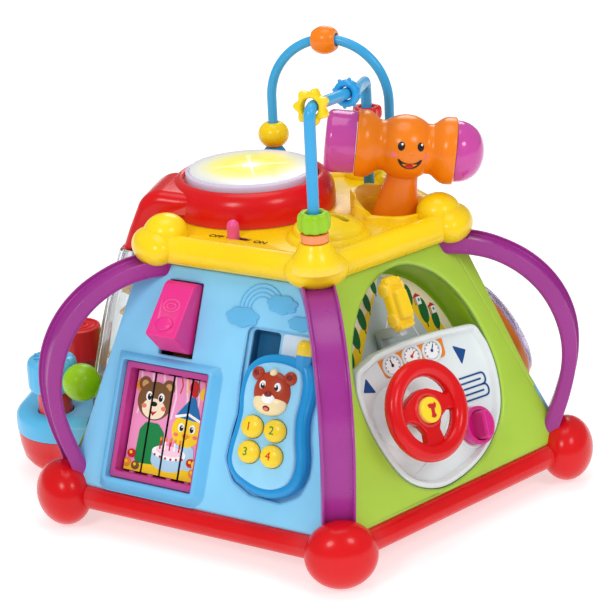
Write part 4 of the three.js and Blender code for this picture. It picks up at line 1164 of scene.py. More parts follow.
PICTURE = party_picture()
for i in range(4):
    centre = -56.2 + 13.7 * i
    u0, u1 = centre - 6.2, centre + 6.2
    blade = slab(rect(centre - 6.2, centre + 6.2, 16.4, 78.8, 0.6, 3), -10.5, -8.75, PF, bevel=0.3, back=0.3,
                 steps=2)
    pin = tube([PF @ Vector((centre, v, -9.6)) for v in (14.4, 30, 60, 80.6)], 0.8, 16)
    groups = [(join(blade, pin), M["dark"])]
    for layer, (mat, loop) in enumerate(PICTURE):
        part = clip(loop, u0 + 0.1, u1 - 0.1)
        part = [(u, min(max(v, 16.5), 78.7)) for u, v in part]
        if len(part) < 3 or abs(area(part)) < 0.05:
            continue
        lift = -8.75 + 0.012 * (layer + 1)
        groups.append((slab(part, -8.8, lift, PF), M[mat]))
    piece(f"picture_slat_{i + 1}", groups, body=f"slat_{i + 1}_body",
          stands_for=[f"shutter_slat_{i + 1}"], weighted=False)

# ---------------------------------------------------------------- rocker
ROCKER = fillet([(94.0, -4), (137.3, -4), (137.3, 4.6), (134.8, 7.6), (102.6, 20.4), (94.0, 1.0)],
                [0.3, 0.3, 0.8, 2.0, 1.6, 0.8], 6)


def wedge_block(profile, half, r, m):
    """A profile in (v, w) carried across u, with rounded side edges."""
    profile = ccw(profile)
    rings = []
    for u, inset in [(-half + r * (1 - cosd(a)), r * (1 - sind(a))) for a in (0, 20, 45, 70, 90)]:
        rings.append([m @ Vector((u, p[0], max(p[1], -4))) for p in grow(profile, -inset)])
    for u, inset in [(half - r * (1 - cosd(a)), r * (1 - sind(a))) for a in (90, 70, 45, 20, 0)]:
        rings.append([m @ Vector((u, p[0], max(p[1], -4))) for p in grow(profile, -inset)])
    return loft(rings)


rocker_m = PF @ shift(-33, 0, 0)
rocker_top = rocker_m @ shift(0, 118.7, 14.0) @ spin(math.degrees(math.atan2(7.6 - 20.4, 134.8 - 102.6)), "X")
ring_mark = frame_around(ccw(circle(5.6, 40, 0.4, 3.4, 4.1)),
                         [(-0.6, -0.6), (-0.45, 0.35), (0, 0.6), (0.45, 0.35), (0.6, -0.6)], rocker_top)
inner_mark = frame_around(ccw(circle(3.1, 32, 0.4, 3.1, 1.9)),
                          [(-0.4, -0.6), (-0.3, 0.25), (0, 0.42), (0.3, 0.25), (0.4, -0.6)], rocker_top)
tail_mark = ridge([(3.2, 7.0), (5.0, 8.6), (5.6, 11.0), (4.2, 14.0), (3.8, 17.2)], 0.8, 0.4, rocker_top)
rocker = piece("rocker_key", [(join(wedge_block(ROCKER, 10.9, 1.1, rocker_m), ring_mark, inner_mark,
                                    tail_mark), M["pink"])],
               body="rocker_body", stands_for=["rocker_button"])
carve(rocker, ellipsoid(6.2, 4.6, 1.7, rocker_top @ shift(0.2, -9.2, 0.7), 40, 20))

# ---------------------------------------------------------------- driving station
DF = F["driving"]
floor_w = -22.35


def road_picture():
    art = []

    def add(mat, loop):
        art.append((mat, ccw(loop)))

    add("print_cream", grow(ROAD, -2.2))
    add("print_yellow", [(-58, 60), (-58, 96), (-30, 100), (-6, 124), (9, 138), (12, 60)])
    add("print_yellow", [(60, 60), (60, 98), (46, 100), (36, 108), (20, 134), (12, 60)])
    add("print_grey", [(-40, 74), (-22, 98), (8, 138), (16, 140), (20, 131), (34, 95), (42, 74)])
    add("print_white", band([(-8, 92), (8, 116), (15, 128)], 0.9))
    add("print_white", band([(28, 88), (21, 112), (17, 128)], 0.9))
    for u, v, s in ((-24, 106, 1.5), (-14.6, 115, 1.3), (-6.6, 124, 1.1), (2.4, 132.6, 0.9), (36, 106, 1.5),
                    (27.5, 119, 1.25), (21.5, 130, 0.9), (43.5, 99, 1.2), (-33, 96, 1.3)):
        add("print_brown", rect(u - 0.3 * s, u + 0.3 * s, v - 5 * s, v))
        add("print_dark_green", circle(2.3 * s, 24, u, v + 2.4 * s, 5.6 * s))
    for u, v, s in ((-22, 118, 0.8), (33.5, 116.5, 0.85), (43, 108, 0.8), (-34, 106, 0.8)):
        add("print_white", rect(u - 3 * s, u + 3 * s, v - 3 * s, v + 3 * s))
        add("print_tan", rect(u - 3 * s, u - 1 * s, v - 3 * s, v + 3 * s))
        add("print_red", [(u - 3.8 * s, v + 3 * s), (u + 3.8 * s, v + 3 * s), (u, v + 6 * s)])
        add("print_blue", rect(u + 0.4 * s, u + 2.0 * s, v - 0.6 * s, v + 1.6 * s))
    return art


def keep_inside(loop, limit):
    """Moves points that leave a convex outline back onto it."""
    cx = sum(p[0] for p in limit) / len(limit)
    cy = sum(p[1] for p in limit) / len(limit)
    out = []
    for x, y in loop:
        px, py = x, y
        for a, b in zip(limit, limit[1:] + limit[:1]):
            side = (b[0] - a[0]) * (py - a[1]) - (b[1] - a[1]) * (px - a[0])
            if side < 0:
                length = (b[0] - a[0]) ** 2 + (b[1] - a[1]) ** 2
                t = max(0, min(1, ((px - a[0]) * (b[0] - a[0]) + (py - a[1]) * (b[1] - a[1])) / length))
                qx, qy = a[0] + t * (b[0] - a[0]), a[1] + t * (b[1] - a[1])
                if (px - qx) ** 2 + (py - qy) ** 2 > 1e-9:
                    px, py = qx, qy
        out.append((px, py))
    return out


def dedupe(loop, gap=0.02):
    out = []
    for p in loop:
        if not out or math.hypot(p[0] - out[-1][0], p[1] - out[-1][1]) > gap:
            out.append(p)
    while len(out) > 2 and math.hypot(out[0][0] - out[-1][0], out[0][1] - out[-1][1]) <= gap:
        out.pop()
    return out


scene_groups = []
FLOOR_EDGE = inside_wedge(grow(ROAD, -2.4), floor_w, 2.6)
for layer, (mat, loop) in enumerate(road_picture()):
    loop = dedupe(keep_inside(loop, FLOOR_EDGE)) if layer else inside_wedge(loop, floor_w, 2.4)
    if len(loop) < 3 or abs(area(loop)) < 0.1:
        continue
    scene_groups.append((slab(loop, floor_w - 0.1, floor_w + 0.02 * (layer + 1), DF), M[mat]))
piece("road_picture", scene_groups, weighted=False)

DASH = grow(ROAD, -0.2)
DL = DF @ shift(0, 0, 5.6)
dash_low = [p for p in DASH if p[1] <= 80]
start = max(range(len(dash_low)), key=lambda i: (dash_low[i][0] < 0) * dash_low[i][1])
dash_low = dash_low[start:] + dash_low[:start]
left_top, right_top = dash_low[0], dash_low[-1]
shoulders = fillet([right_top, (right_top[0] - 5.0, 92.6), (22, 96.6), (-8, 98.2), (-30, 97.0),
                    (left_top[0] + 4.0, 91.0), left_top],
                   [0, 8, 12, 12, 12, 9, 0], 8)
DASH_OUTLINE = ccw(dash_low + shoulders[1:-1])
DASH_OUTLINE = dedupe(inside_wedge(DASH_OUTLINE, -9, 2.6), 0.3)
WHEEL = (-26.7, 56.7)
dash = slab(DASH_OUTLINE, -14.4, -9.0, DL, bevel=0.6)
dash_rim = frame_around(DASH_OUTLINE, [(0.1, -12), (0.1, -8.2), (0.6, -6.4), (1.8, -5.4), (3.2, -5.4),
                                       (4.4, -6.6), (5.4, -9.4)], DL)
column = lathe([(19.5, -4), (19, -2.6), (16.8, 0), (13.4, 5), (10.4, 11), (9.0, 15), (0, 15)], 48,
               DF @ shift(*WHEEL, 0))
panel_step = ridge([(-30, 18), (-2, 28), (14, 46), (20, 66)], 2.0, 0.9, DL @ shift(0, 0, -9))
gauges = fillet([(-29.5, 94.6), (26.5, 93.6), (25.6, 79.6), (-26, 79.8)], 3.0, 5)
dash_groups = [(join(dash, dash_rim, column, panel_step), M["white"])]
dash_groups.append((slab(gauges, -9.4, -8.7, DL, bevel=0.2), M["print_orange"]))
for k, (u, v) in enumerate(((-18.6, 86.4), (-1.8, 87.2), (15.2, 86.0))):
    dash_groups.append((frame_around(ccw(circle(7.4, 44, u, v, 6.6)),
            [(-0.7, -9), (-0.6, -8.1), (0, -7.7), (0.8, -8.1), (0.9, -9)], DL), M["white"]))
    dash_groups.append((slab(circle(7.0, 40, u, v, 6.2), -9, -8.5, DL), M["print_grey"]))
    dash_groups.append((slab(circle(5.6, 40, u, v, 5.0), -9, -8.45, DL), M["print_white"]))
    for j in range(9):
        a = math.radians(210 - 240 * j / 8)
        tick = [(u + q * 6.0 * math.cos(a), v + q * 5.3 * math.sin(a)) for q in (0.8, 1.0)]
        dash_groups.append((slab(band(tick, 0.5), -8.8, -8.4, DL), M["ink"]))
    needle = math.radians((100, 40, 60)[k])
    dash_groups.append((slab(band([(u, v), (u + 4.4 * math.cos(needle), v + 4.0 * math.sin(needle))], 0.8),
                             -8.8, -8.35, DL),
                        M[("ink", "print_red", "navy")[k]]))
    dash_groups.append((slab(circle(1.1, 14, u, v), -8.8, -8.25, DL), M[("ink", "print_red", "navy")[k]]))
for loop in ([(-41.6, 85.2), (-37.0, 74.6), (-46.4, 77.4)], [(32.6, 84.0), (42.6, 78.6), (36.0, 70.6)]):
    dash_groups.append((slab(fillet(loop, 0.5, 3), -9.2, -8.75, DL, bevel=0.1), M["navy"]))
for k in range(5):
    v0 = 62.8 - 3.7 * k
    dash_groups.append((slab(band([(29.6, v0), (47.0, v0 - 1.0)], 1.1), -9.2, -8.6, DL), M["navy"]))
for v0 in (61.8, 54.4):
    bend = [(46.6 + 4.4 * sind(18 * i) ** 0.6, v0 - 3.7 + 3.7 * cosd(18 * i)) for i in range(11)]
    dash_groups.append((slab(band(bend, 1.1), -9.2, -8.55, DL), M["navy"]))
piece("dashboard_panel", dash_groups, stands_for=["dashboard"])

# steering wheel: a thick rim and a wide hub with three openings
WM = DF @ shift(*WHEEL, 0)


def polar(points):
    return [(r * cosd(a), r * sind(a)) for r, a in points]


def sector(r, a0, a1, n=18):
    return polar([(r, a0 + (a1 - a0) * i / n) for i in range(n + 1)])


top_open = fillet(sector(21.2, 17, 163, 14) + [(-16.6, 6.4), (-11.4, 9.6), (-5, 12.6), (0, 13.2), (5, 12.6),
                                               (11.4, 9.6), (16.6, 6.4)],
                  [2.4] + [0] * 13 + [2.4, 1.5] + [0] * 6, 5)
low_right = fillet(sector(21.2, -70, -13, 8) + [(15.0, -3.6), (9.6, -6.6), (6.0, -12.6)],
                   [3.0] + [0] * 7 + [3.0, 2.6, 4.0, 2.6], 6)
low_left = [(-x, y) for x, y in low_right]
hub_plate = slab(circle(25.0, 96), 19.0, 25.2, WM @ spin(-2), holes=[top_open, low_right, low_left],
                 bevel=0.5, hole_bevel=2.0, back=1.4, steps=6)
rim_profile = [(25.6 + 5.4 * cosd(a), 24 + 5.4 * sind(a)) for a in range(0, 360, 12)]
wheel_rim = lathe(rim_profile, 112, WM, loop=True)
hub_boss = lathe([(0, 16), (10.2, 16), (10.4, 19), (10.6, 25.0), (10.4, 25.8), (9.9, 26.3), (9.2, 26.4),
                  (8.5, 26.0), (8.4, 25.2), (0, 25.1)], 64, WM)
shaft = lathe([(0, -4), (3, -4), (3, 17), (0, 17)], 24, WM)
piece("drive_wheel", [(join(hub_plate, wheel_rim, hub_boss, shaft), M["red"])], body="steering_wheel_body",
      stands_for=["steering_wheel"], angle=40)

horn_shape = [(-3.2, 3.4), (-0.9, 3.8), (1.9, 3.2), (2.5, 4.3), (3.6, 3.0), (2.6, 0.6), (1.6, 0.6),
              (1.4, -2.2), (2.4, -4.0), (0.4, -5.0), (-1.6, -4.2), (-1.0, -2.0), (-1.0, 0.9), (-2.2, 1.3)]
horn_top = lathe([(0, 25.2), (7.9, 25.2), (7.9, 27.2)] + arc(6.4, 27.2, 1.5, 0, 80, 6) + [(3, 29.0),
        (0, 29.1)], 56, WM)
horn_icon = slab(fillet(ccw(horn_shape), 0.5, 3), 28.6, 29.35, WM @ spin(-6), bevel=0.1)
piece("horn_badge", [(horn_top, M["keys"]), (horn_icon, M["print_red"])], body="horn_body",
      stands_for=["horn_button"])

KM = DF @ shift(27.7, 32.5, 0)
key_disc = lathe([(0, -8), (2.5, -8), (2.5, -2.6), (11.6, -2.6), (12.0, 3.4)] + arc(10.8, 4.2, 1.2, 0, 90, 6)
                 + [(9.8, 5.2), (9.4, 4.2), (8.8, 1.4), (0, 1.4)], 56, KM)
blade_shape = fillet([(-9.4, -2.6), (9.4, -2.6), (8.0, 2.6), (3.0, 5.6), (-3.0, 5.6), (-8.0, 2.6)], 2.0, 6)
key_blade = slab(blade_shape, 1.2, 11.6, KM @ spin(-98), bevel=1.5, steps=6)
collar = frame_around(ccw(circle(13.0, 56, 27.7, 32.5)), [(-0.9, -9.4), (-0.9, -8.2), (0, -7.6), (1.2, -7.8),
                                                          (1.4, -9.4)], DL)
piece("ignition_switch", [(join(key_disc, key_blade), M["magenta"])], body="ignition_body",
      stands_for=["ignition_key"])
piece("ignition_collar", [(collar, M["white"])])

# toy car, seen from above on its road
CM = DF @ shift(-6.9, 121.6, 0) @ Matrix.Diagonal((0.68, 1.05, 1, 1))
car_parts = [
    slab(fillet([(-9.4, -16), (9.4, -16), (10.2, -4), (9.4, 8), (7.8, 16), (-7.8, 16), (-9.4, 8),
                 (-10.2, -4)], [4, 4, 6, 6, 5, 5, 6, 6], 6),
         1.6, 8.6, CM, bevel=3.0, back=1.2, steps=6),
    slab(fillet([(-7.4, -10), (7.4, -10), (6.6, 8), (-6.6, 8)], 3.2, 6), 7.0, 13.4, CM, bevel=2.8, steps=6),
    slab(rect(-8.4, 8.4, -15, -12.6, 1.0, 4), 7.4, 9.2, CM, bevel=0.7),
    slab(rect(-5.4, 5.4, 10.4, 14.4, 1.6, 4), 7.6, 9.0, CM, bevel=0.8),
]
for s in (-1, 1):
    for v in (-9, 9):
        wheel_m = CM @ shift(s * 9.2, v, 4.2) @ spin(90, "Y")
        car_parts.append(lathe([(0, -2.2), (3.4, -2.2), (4.3, -1.4), (4.3, 1.4), (3.4, 2.2), (0, 2.2)], 32,
                               wheel_m))
    car_parts.append(puff(s * 7.2, 13.2, 7.6, 1.7, 1.5, 1.2, CM))
roof = [ridge([(-5.2, v), (5.2, v)], 0.8, 0.5, CM @ shift(0, 0, 13.2), base=-0.6) for v in (-5.5, -1.5, 2.5)]
arm = join(
    lathe([(0, -24), (3, -24), (3, -19), (0, -19)], 24, DF @ shift(-7, 48, 0)),
    solid_box(-10.5, -3.5, 45, 108, -20, -16.5, DF, r=3, bevel=0.8),
    solid_box(-10, -4, 101.5, 108, -17, 3, DF, r=1.5, bevel=0.5),
)
piece("play_car", [(join(*car_parts, *roof), M["car"]), (arm, M["print_grey"])], body="toy_car_body",
      stands_for=["toy_car"])

# ---------------------------------------------------------------- top deck
WELL = Vector((60.85, -8.67, 0))
REAR_A, REAR_B = Vector((-6.6, 84.2, 170)), Vector((67.4, 50, 170))
FRONT_TOP, FRONT_TURN, FRONT_END = Vector((0, -98, 271)), Vector((35, -39, 264.5)), Vector((49.6, 28, 253))
DRUM = Vector((-27, 26, 0))
SLIDER = shift(-44.4, -39.2, 0) @ spin(-36)

deck_corner = 79 / cosd(36)
pentagon = ccw([radial(a, deck_corner, 0, 0).xy.to_tuple() for a in CORNERS.values()])
pentagon = sorted(pentagon, key=lambda p: math.atan2(p[1], p[0]))
slot_loop = ccw([(SLIDER @ Vector((x, y, 0))).xy.to_tuple() for x, y in rect(-4.6, 12.6, -2.6, 2.6, 2.4, 5)])
deck = slab(fillet(pentagon, 3, 4), 163, 177, holes=[circle(23.6, 80, WELL.x, WELL.y), slot_loop], bevel=0.6,
            hole_bevel=0.5)
deck_parts = [deck]
half = 98.3 * sind(36)
for azimuth in FACES.values():
    a, b = radial(azimuth, 79.5, -half + 3, 172), radial(azimuth, 79.5, half - 3, 172)
    deck_parts.append(tube([a.lerp(b, i / 6) for i in range(7)], 9, 56))
for corner, azimuth in CORNERS.items():
    deck_parts.append(ellipsoid(13, 19.5, 12, corner_frame(azimuth, 98.3, 172.7), 64, 32))
    if corner != "front":
        k = 0.75 if corner == "back_left" else 1
        deck_parts.append(ellipsoid(14 * k, 14, 12, corner_frame(azimuth, 90 + (1 - k) * 20, 180), 56, 28))
cone = lathe([(0, 174), (17.5, 174), (17.0, 177.6), (14.6, 180.2), (12.2, 183.4), (10.4, 187), (9.6, 189.2)]
             + arc(8.6, 189.2, 0.9, 10, 90, 4)
             + [(4.1, 190.1), (4.1, 186), (0, 186)], 56, shift(0, -98, 0))
deck_parts.append(cone)
petal = ccw([((26.6 + 1.5 * math.cos(8 * a)) * math.cos(a) + WELL.x,
              (26.6 + 1.5 * math.cos(8 * a)) * math.sin(a) + WELL.y)
             for a in [2 * math.pi * i / 160 for i in range(160)]])
deck_parts.append(slab(petal, 175, 180.5, holes=[circle(23.6, 80, WELL.x, WELL.y)], bevel=1.4, hole_bevel=1.0,
                       steps=5))
wall_rings = []
for i in range(91):
    a = math.radians(64 + 1.9 * i)
    top = 176.5 + 13.5 * math.sin(math.pi * i / 90) ** 0.7
    out = 27.2 + 1.7 * math.cos(9 * a)
    wall_rings.append([Vector((WELL.x + r * math.cos(a), WELL.y + r * math.sin(a), z)) for r, z in
                       ((24.2, 174), (24.2, top - 1.4), (24.7, top - 0.4), (25.6, top), (out - 0.9, top),
                        (out - 0.2, top - 0.5), (out, top - 1.4), (out, 174))])
deck_parts.append(loft(wall_rings))
bowl = lathe([(0, 163.6), (22, 163.6), (25.4, 166), (25.4, 176), (23.6, 176)] + [(23.6, 172), (23.2, 168.6),
        (21.6, 166.4), (19.4, 165.6), (0, 165.6)],
             72, shift(WELL.x, WELL.y, 0))
deck_parts.append(bowl)
for foot in (REAR_A, REAR_B):
    deck_parts.append(lathe([(0, 172), (9.4, 172), (9.2, 176.6), (8.2, 178.6), (7.2, 181.0)] + arc(6.2, 181.2,
            0.8, 10, 90, 4) + [(3.8, 182), (3.8, 179), (0, 179)], 40,
                            shift(foot.x, foot.y, 0)))
deck_parts.append(lathe([(0, 174), (8.6, 174), (8.2, 177), (7.0, 179.4), (6.4, 180.4), (5.6, 181), (4.1, 181),
                         (4.1, 178), (0, 178)], 40, shift(FRONT_END.x, FRONT_END.y, 0)))
ink_groups = []
for text, across in (("OFF", -11.2), ("ON", 20.4)):
    m = SLIDER @ shift(across, -2.2, 177.0) @ Matrix.Diagonal((1.1, 1.15, 1, 1))
    ink_groups.append((letters(text, 5.2, m, 0.12, weight=0.025), M["ink"]))
piece("deck_top", [(join(*deck_parts), M["yellow"])] + ink_groups,
      stands_for=["top_deck"], weighted=False)
# the slot pan is a deep red: red plastic darkened with painted shade
slot_pan = pocket(None, rect(-4.6, 9.6, -2.4, 2.4, 2.2, 5), 4.0, wall=0.8, m=SLIDER @ shift(0, 0, 176.9),
                  top=-0.5)
piece("slider_slot", [(slot_pan, plastic("slot_red_painted_shade_plastic", (132, 26, 30), 0.4))])

mound = lathe([(0, 174), (26.4, 174), (26.2, 177), (25.6, 178.8), (24.2, 180.2), (22.4, 181.2), (21.8, 183.2),
               (20.6, 184.9), (17, 187), (12, 188.9), (6, 189.9), (0, 190.2)], 88, shift(13, -52, 0))
mound_piece = piece("deck_mound", [(mound, M["yellow"])])
slot_cut = slab(rect(-7.2, 7.2, -2.4, 2.4, 2.3, 5), 182.4, 196, shift(20, -54, 0) @ spin(-50))
carve(mound_piece, slot_cut)
# a dark block filling the slot: painted shade in the slot
piece("mound_slot_shade", [(slab(rect(-7.1, 7.1, -2.3, 2.3, 2.2, 5), 181.8, 187.4, shift(20, -54, 0) @ spin(-50)),
                      M["dark"])])

thumb = lathe([(0, 172), (3.6, 172), (3.9, 178), (3.9, 184.2)] + arc(0.0, 184.4, 3.9, 0, 90, 10)[1:], 36,
              SLIDER)
thumb_foot = slab(rect(-3.6, 3.6, -2.2, 2.2, 1.6, 5), 171, 176.4, SLIDER, bevel=0.3)
piece("slider_thumb", [(join(thumb, thumb_foot), M["slider"])], body="slider_body",
      stands_for=["power_slider"])

# ---------------------------------------------------------------- drum
DM = shift(DRUM.x, DRUM.y, 0)
ring_profile = [(0, 177.3), (53.8, 177.3), (54.1, 178.8), (54.0, 184), (53.5, 188.4), (52.6, 191.6),
                (51.2, 194.4), (49.2, 196.8), (47.4, 198.1), (46.0, 198.6), (44.8, 198.3), (43.8, 197.4),
                (43.4, 196), (43.3, 194), (43.3, 182), (0, 182)]
ring_part = lathe(ring_profile, 128, DM)
CHUTE = fillet([(50, 182.3), (50, 193.2), (56, 193.8), (62, 194.4), (68, 195), (74, 195.6), (88, 197),
                (98, 191), (107, 170.5), (111.5, 159), (89.4, 159), (89.4, 172), (86.2, 180.6), (81, 182.3)],
               [0, 0, 0, 0, 0, 0, 16, 16, 14, 0.5, 0.5, 4, 4, 3], 8)


def chute_part():
    loop = ccw(CHUTE)
    rings = []
    r = 8.0
    stations = [(-26 + r * (1 - cosd(a)), r * (1 - sind(a))) for a in range(0, 91, 9)]
    stations += [(26 - r * (1 - cosd(a)), r * (1 - sind(a))) for a in range(90, -1, -9)]
    for t, inset in stations:
        ring = []
        for (a, z), (a2, z2) in zip(loop, grow(loop, -inset)):
            inner = (z < 182.6 and a < 89) or (a < 89.5 and z < 181) or z < 159.5
            part = 0 if inner else max(0, min(1, (a - 50) / 22))
            ring.append(radial(FACES["track"], a + (a2 - a) * part, t, z + (z2 - z) * part))
        rings.append(ring)
    return loft(rings)


piece("drum_shell", [(join(ring_part, chute_part()), M["red"])],
      stands_for=["drum_housing"], weighted=False)


def glowing_head():
    """Milky drum skin lit from below: bright in the middle, yellow around it, with faint star rays that are a
    painted glint.
    """
    mat = plastic("drum_skin", (244, 244, 226), 0.22, mottle=0.03, grain=0.03)
    t = mat.node_tree
    link = t.links.new
    shader = t.nodes["Principled BSDF"]
    coords = node(t, "ShaderNodeTexCoord", (-1500, 900))
    place = node(t, "ShaderNodeMapping", (-1300, 900))
    place.inputs["Location"].default_value = (-DRUM.x * MM, -DRUM.y * MM, 0)
    link(coords.outputs["Object"], place.inputs["Vector"])
    split = node(t, "ShaderNodeSeparateXYZ", (-1100, 900))
    link(place.outputs["Vector"], split.inputs["Vector"])
    flat = node(t, "ShaderNodeCombineXYZ", (-920, 900))
    link(split.outputs["X"], flat.inputs["X"])
    link(split.outputs["Y"], flat.inputs["Y"])
    length = node(t, "ShaderNodeVectorMath", (-740, 900), operation="LENGTH")
    link(flat.outputs["Vector"], length.inputs[0])
    reach = node(t, "ShaderNodeMath", (-560, 900), operation="DIVIDE")
    link(length.outputs["Value"], reach.inputs[0])
    reach.inputs[1].default_value = 0.041
    ramp = node(t, "ShaderNodeValToRGB", (-380, 900))
    stops = [(0.0, (255, 255, 240)), (0.16, (255, 250, 150)), (0.36, (250, 240, 96)), (0.6, (244, 238, 140)),
             (0.82, (232, 232, 214)), (1.0, (214, 214, 222))]
    ramp.color_ramp.elements[0].position = 0.0
    ramp.color_ramp.elements[0].color = rgba(stops[0][1])
    ramp.color_ramp.elements[1].position = 1.0
    ramp.color_ramp.elements[1].color = rgba(stops[-1][1])
    for where, colour in stops[1:-1]:
        ramp.color_ramp.elements.new(where).color = rgba(colour)
    link(reach.outputs["Value"], ramp.inputs["Fac"])
    # star rays: a painted glint
    angle = node(t, "ShaderNodeMath", (-740, 1150), operation="ARCTAN2")
    link(split.outputs["Y"], angle.inputs[0])
    link(split.outputs["X"], angle.inputs[1])
    many = node(t, "ShaderNodeMath", (-560, 1150), operation="MULTIPLY")
    link(angle.outputs["Value"], many.inputs[0])
    many.inputs[1].default_value = 4.0
    wave = node(t, "ShaderNodeMath", (-380, 1150), operation="COSINE")
    link(many.outputs["Value"], wave.inputs[0])
    sharp = node(t, "ShaderNodeMapRange", (-200, 1150), clamp=True)
    sharp.inputs["From Min"].default_value = 0.93
    sharp.inputs["From Max"].default_value = 1.0
    link(wave.outputs["Value"], sharp.inputs["Value"])
    fade = node(t, "ShaderNodeMapRange", (-200, 1000), clamp=True)
    fade.inputs["From Min"].default_value = 0.62
    fade.inputs["From Max"].default_value = 0.02
    link(reach.outputs["Value"], fade.inputs["Value"])
    glint_rays = node(t, "ShaderNodeMath", (0, 1100), operation="MULTIPLY")
    link(sharp.outputs["Result"], glint_rays.inputs[0])
    link(fade.outputs["Result"], glint_rays.inputs[1])
    core = node(t, "ShaderNodeMapRange", (-200, 850), clamp=True)
    core.inputs["From Min"].default_value = 0.16
    core.inputs["From Max"].default_value = 0.02
    link(reach.outputs["Value"], core.inputs["Value"])
    total = node(t, "ShaderNodeMath", (180, 1050), operation="MAXIMUM")
    link(glint_rays.outputs["Value"], total.inputs[0])
    link(core.outputs["Result"], total.inputs[1])
    mix = node(t, "ShaderNodeMix", (360, 1000), data_type="RGBA")
    link(total.outputs["Value"], mix.inputs["Factor"])
    link(ramp.outputs["Color"], mix.inputs[6])
    mix.inputs[7].default_value = (1, 1, 0.97, 1)
    link(mix.outputs[2], shader.inputs["Base Color"])
    link(mix.outputs[2], shader.inputs["Emission Color"])
    power = node(t, "ShaderNodeMapRange", (360, 800))
    power.inputs["From Min"].default_value = 0.0
    power.inputs["From Max"].default_value = 1.0
    power.inputs["To Min"].default_value = 0.16
    power.inputs["To Max"].default_value = 1.1
    link(total.outputs["Value"], power.inputs["Value"])
    link(power.outputs["Result"], shader.inputs["Emission Strength"])
    return mat


M["skin"] = glowing_head()
M["rim"] = plastic("drum_rim_plastic", (214, 204, 226), 0.24, sub=0.0)
skin = lathe([(0, 199), (39.6, 199), (40.0, 201), (39.6, 202.1), (37, 202.5), (28, 203.1), (18, 203.4),
              (8, 203.55), (0, 203.6)], 112, DM)
skin_rim = lathe([(3, 189), (3, 194), (38, 194), (38, 191), (42.4, 191), (42.4, 200.2)] + arc(41.2, 200.6,
        1.2, 0, 80, 6)
                 + [(40.6, 202.0), (40.2, 201.8), (39.9, 200.8), (39.4, 199.6), (20, 199.2), (0, 199.2),
                    (0, 189)], 112, DM)
piece("drum_skin", [(skin, M["skin"]), (skin_rim, M["rim"])], body="drum_head_body",
      stands_for=["drum_head"], weighted=False)

# ---------------------------------------------------------------- hammer
H_UP = Vector((0.197, -0.0297, 0.98)).normalized()
H_AXIS = Vector((0.982, -0.148, -0.124)).normalized()
H_C = Vector((69.7, -10, 218))
BALL_C = H_C - H_AXIS * 1.2
HEAD_BALL_R = 20.5
h_depth = H_UP.cross(H_AXIS).normalized()          # points away from the face
HM = basis(BALL_C, (-h_depth).cross(H_AXIS).normalized(), -h_depth, H_AXIS)


head_half = [(0, 31), (19.9, 31)] + arc(20.0, 29.8, 1.2, 90, 0, 5)[1:] + [(21.3, 27), (21.1, 25),
        (20.4, 22.8), (19.2, 20.8), (17.6, 18.9), (16.4, 17.4), (15.9, 16.2), (15.8, 15.0)]
ball_half = [(HEAD_BALL_R * sind(a), HEAD_BALL_R * cosd(a)) for a in range(51, 91, 3)]
head_profile = head_half + ball_half + [(r, -z) for r, z in (head_half + ball_half[:-1])[::-1]]
head = lathe(head_profile, 96, HM)


def handle_ring(distance, wide, thick, n=48):
    across = (H_AXIS - H_UP * H_AXIS.dot(H_UP)).normalized()
    depth = H_UP.cross(across)
    p = H_C - H_UP * distance
    ring = []
    for i in range(n):
        a = 2 * math.pi * i / n
        c, s = math.cos(a), math.sin(a)
        k = 0.82
        ring.append(p + across * (wide * math.copysign(abs(c) ** k, c)) + depth
                    * (thick * math.copysign(abs(s) ** k, s)))
    return ring


grip_stations = catmull([Vector(p) for p in [(12, 9.6, 8), (20, 10.0, 8.2), (24, 10.6, 8.5), (30, 12.0, 9.0),
                                             (36, 13.2, 9.6), (44, 14.4, 10.5), (56, 14.7, 10.6),
                                             (74, 14.3, 10.3), (92, 13.6, 9.8), (95, 12.6, 9.0),
                                             (96, 11.0, 7.6)]], 36)
grip = loft([handle_ring(*p) for p in grip_stations])


def on_ball(side, height, out=0.0):
    """A point on the hammer's face ball: side to its right and height up, as seen from the front."""
    right = H_AXIS
    up = (H_UP - H_AXIS * H_UP.dot(H_AXIS)).normalized()
    front = up.cross(right) * -1 if up.cross(right).y > 0 else up.cross(right)
    d = math.sqrt(max(HEAD_BALL_R ** 2 - side * side - height * height, 0))
    n = (right * side + up * height + front * d).normalized()
    return BALL_C + n * (HEAD_BALL_R + out), n, up


def badge(side, height, ru, rv, mat, lift=0.35, sink=1.0):
    """A printed or inset oval that follows the ball."""
    p, n, up = on_ball(side, height)
    x = up.cross(n).normalized()
    y = n.cross(x)
    rings = []
    for k, out in ((0.0, -sink), (1.0, -sink), (1.0, lift * 0.5), (0.82, lift * 0.85), (0.5, lift),
                   (0.0, lift)):
        ring = []
        for i in range(36):
            a = 2 * math.pi * i / 36
            u, v = max(k, 0.02) * ru * math.cos(a), max(k, 0.02) * rv * math.sin(a)
            q = (p + x * u + y * v - BALL_C).normalized()
            ring.append(BALL_C + q * (HEAD_BALL_R + out))
        rings.append(ring)
    return loft(rings), mat


def ball_line(points, mat, lift=0.4, sink=0.8):
    """A closed printed shape on the ball from (side, height) points."""
    loop = ccw(points)
    top = [on_ball(x, y, lift)[0] for x, y in loop]
    low = [on_ball(x, y, -sink)[0] for x, y in loop]
    n = len(loop)
    flat = fill([loop], True)
    verts = low + top
    faces = [(i, (i + 1) % n, n + (i + 1) % n, n + i) for i in range(n)]
    faces += [tuple(i for i in f[::-1]) for f in flat] + [tuple(i + n for i in f) for f in flat]
    return (verts, faces), mat


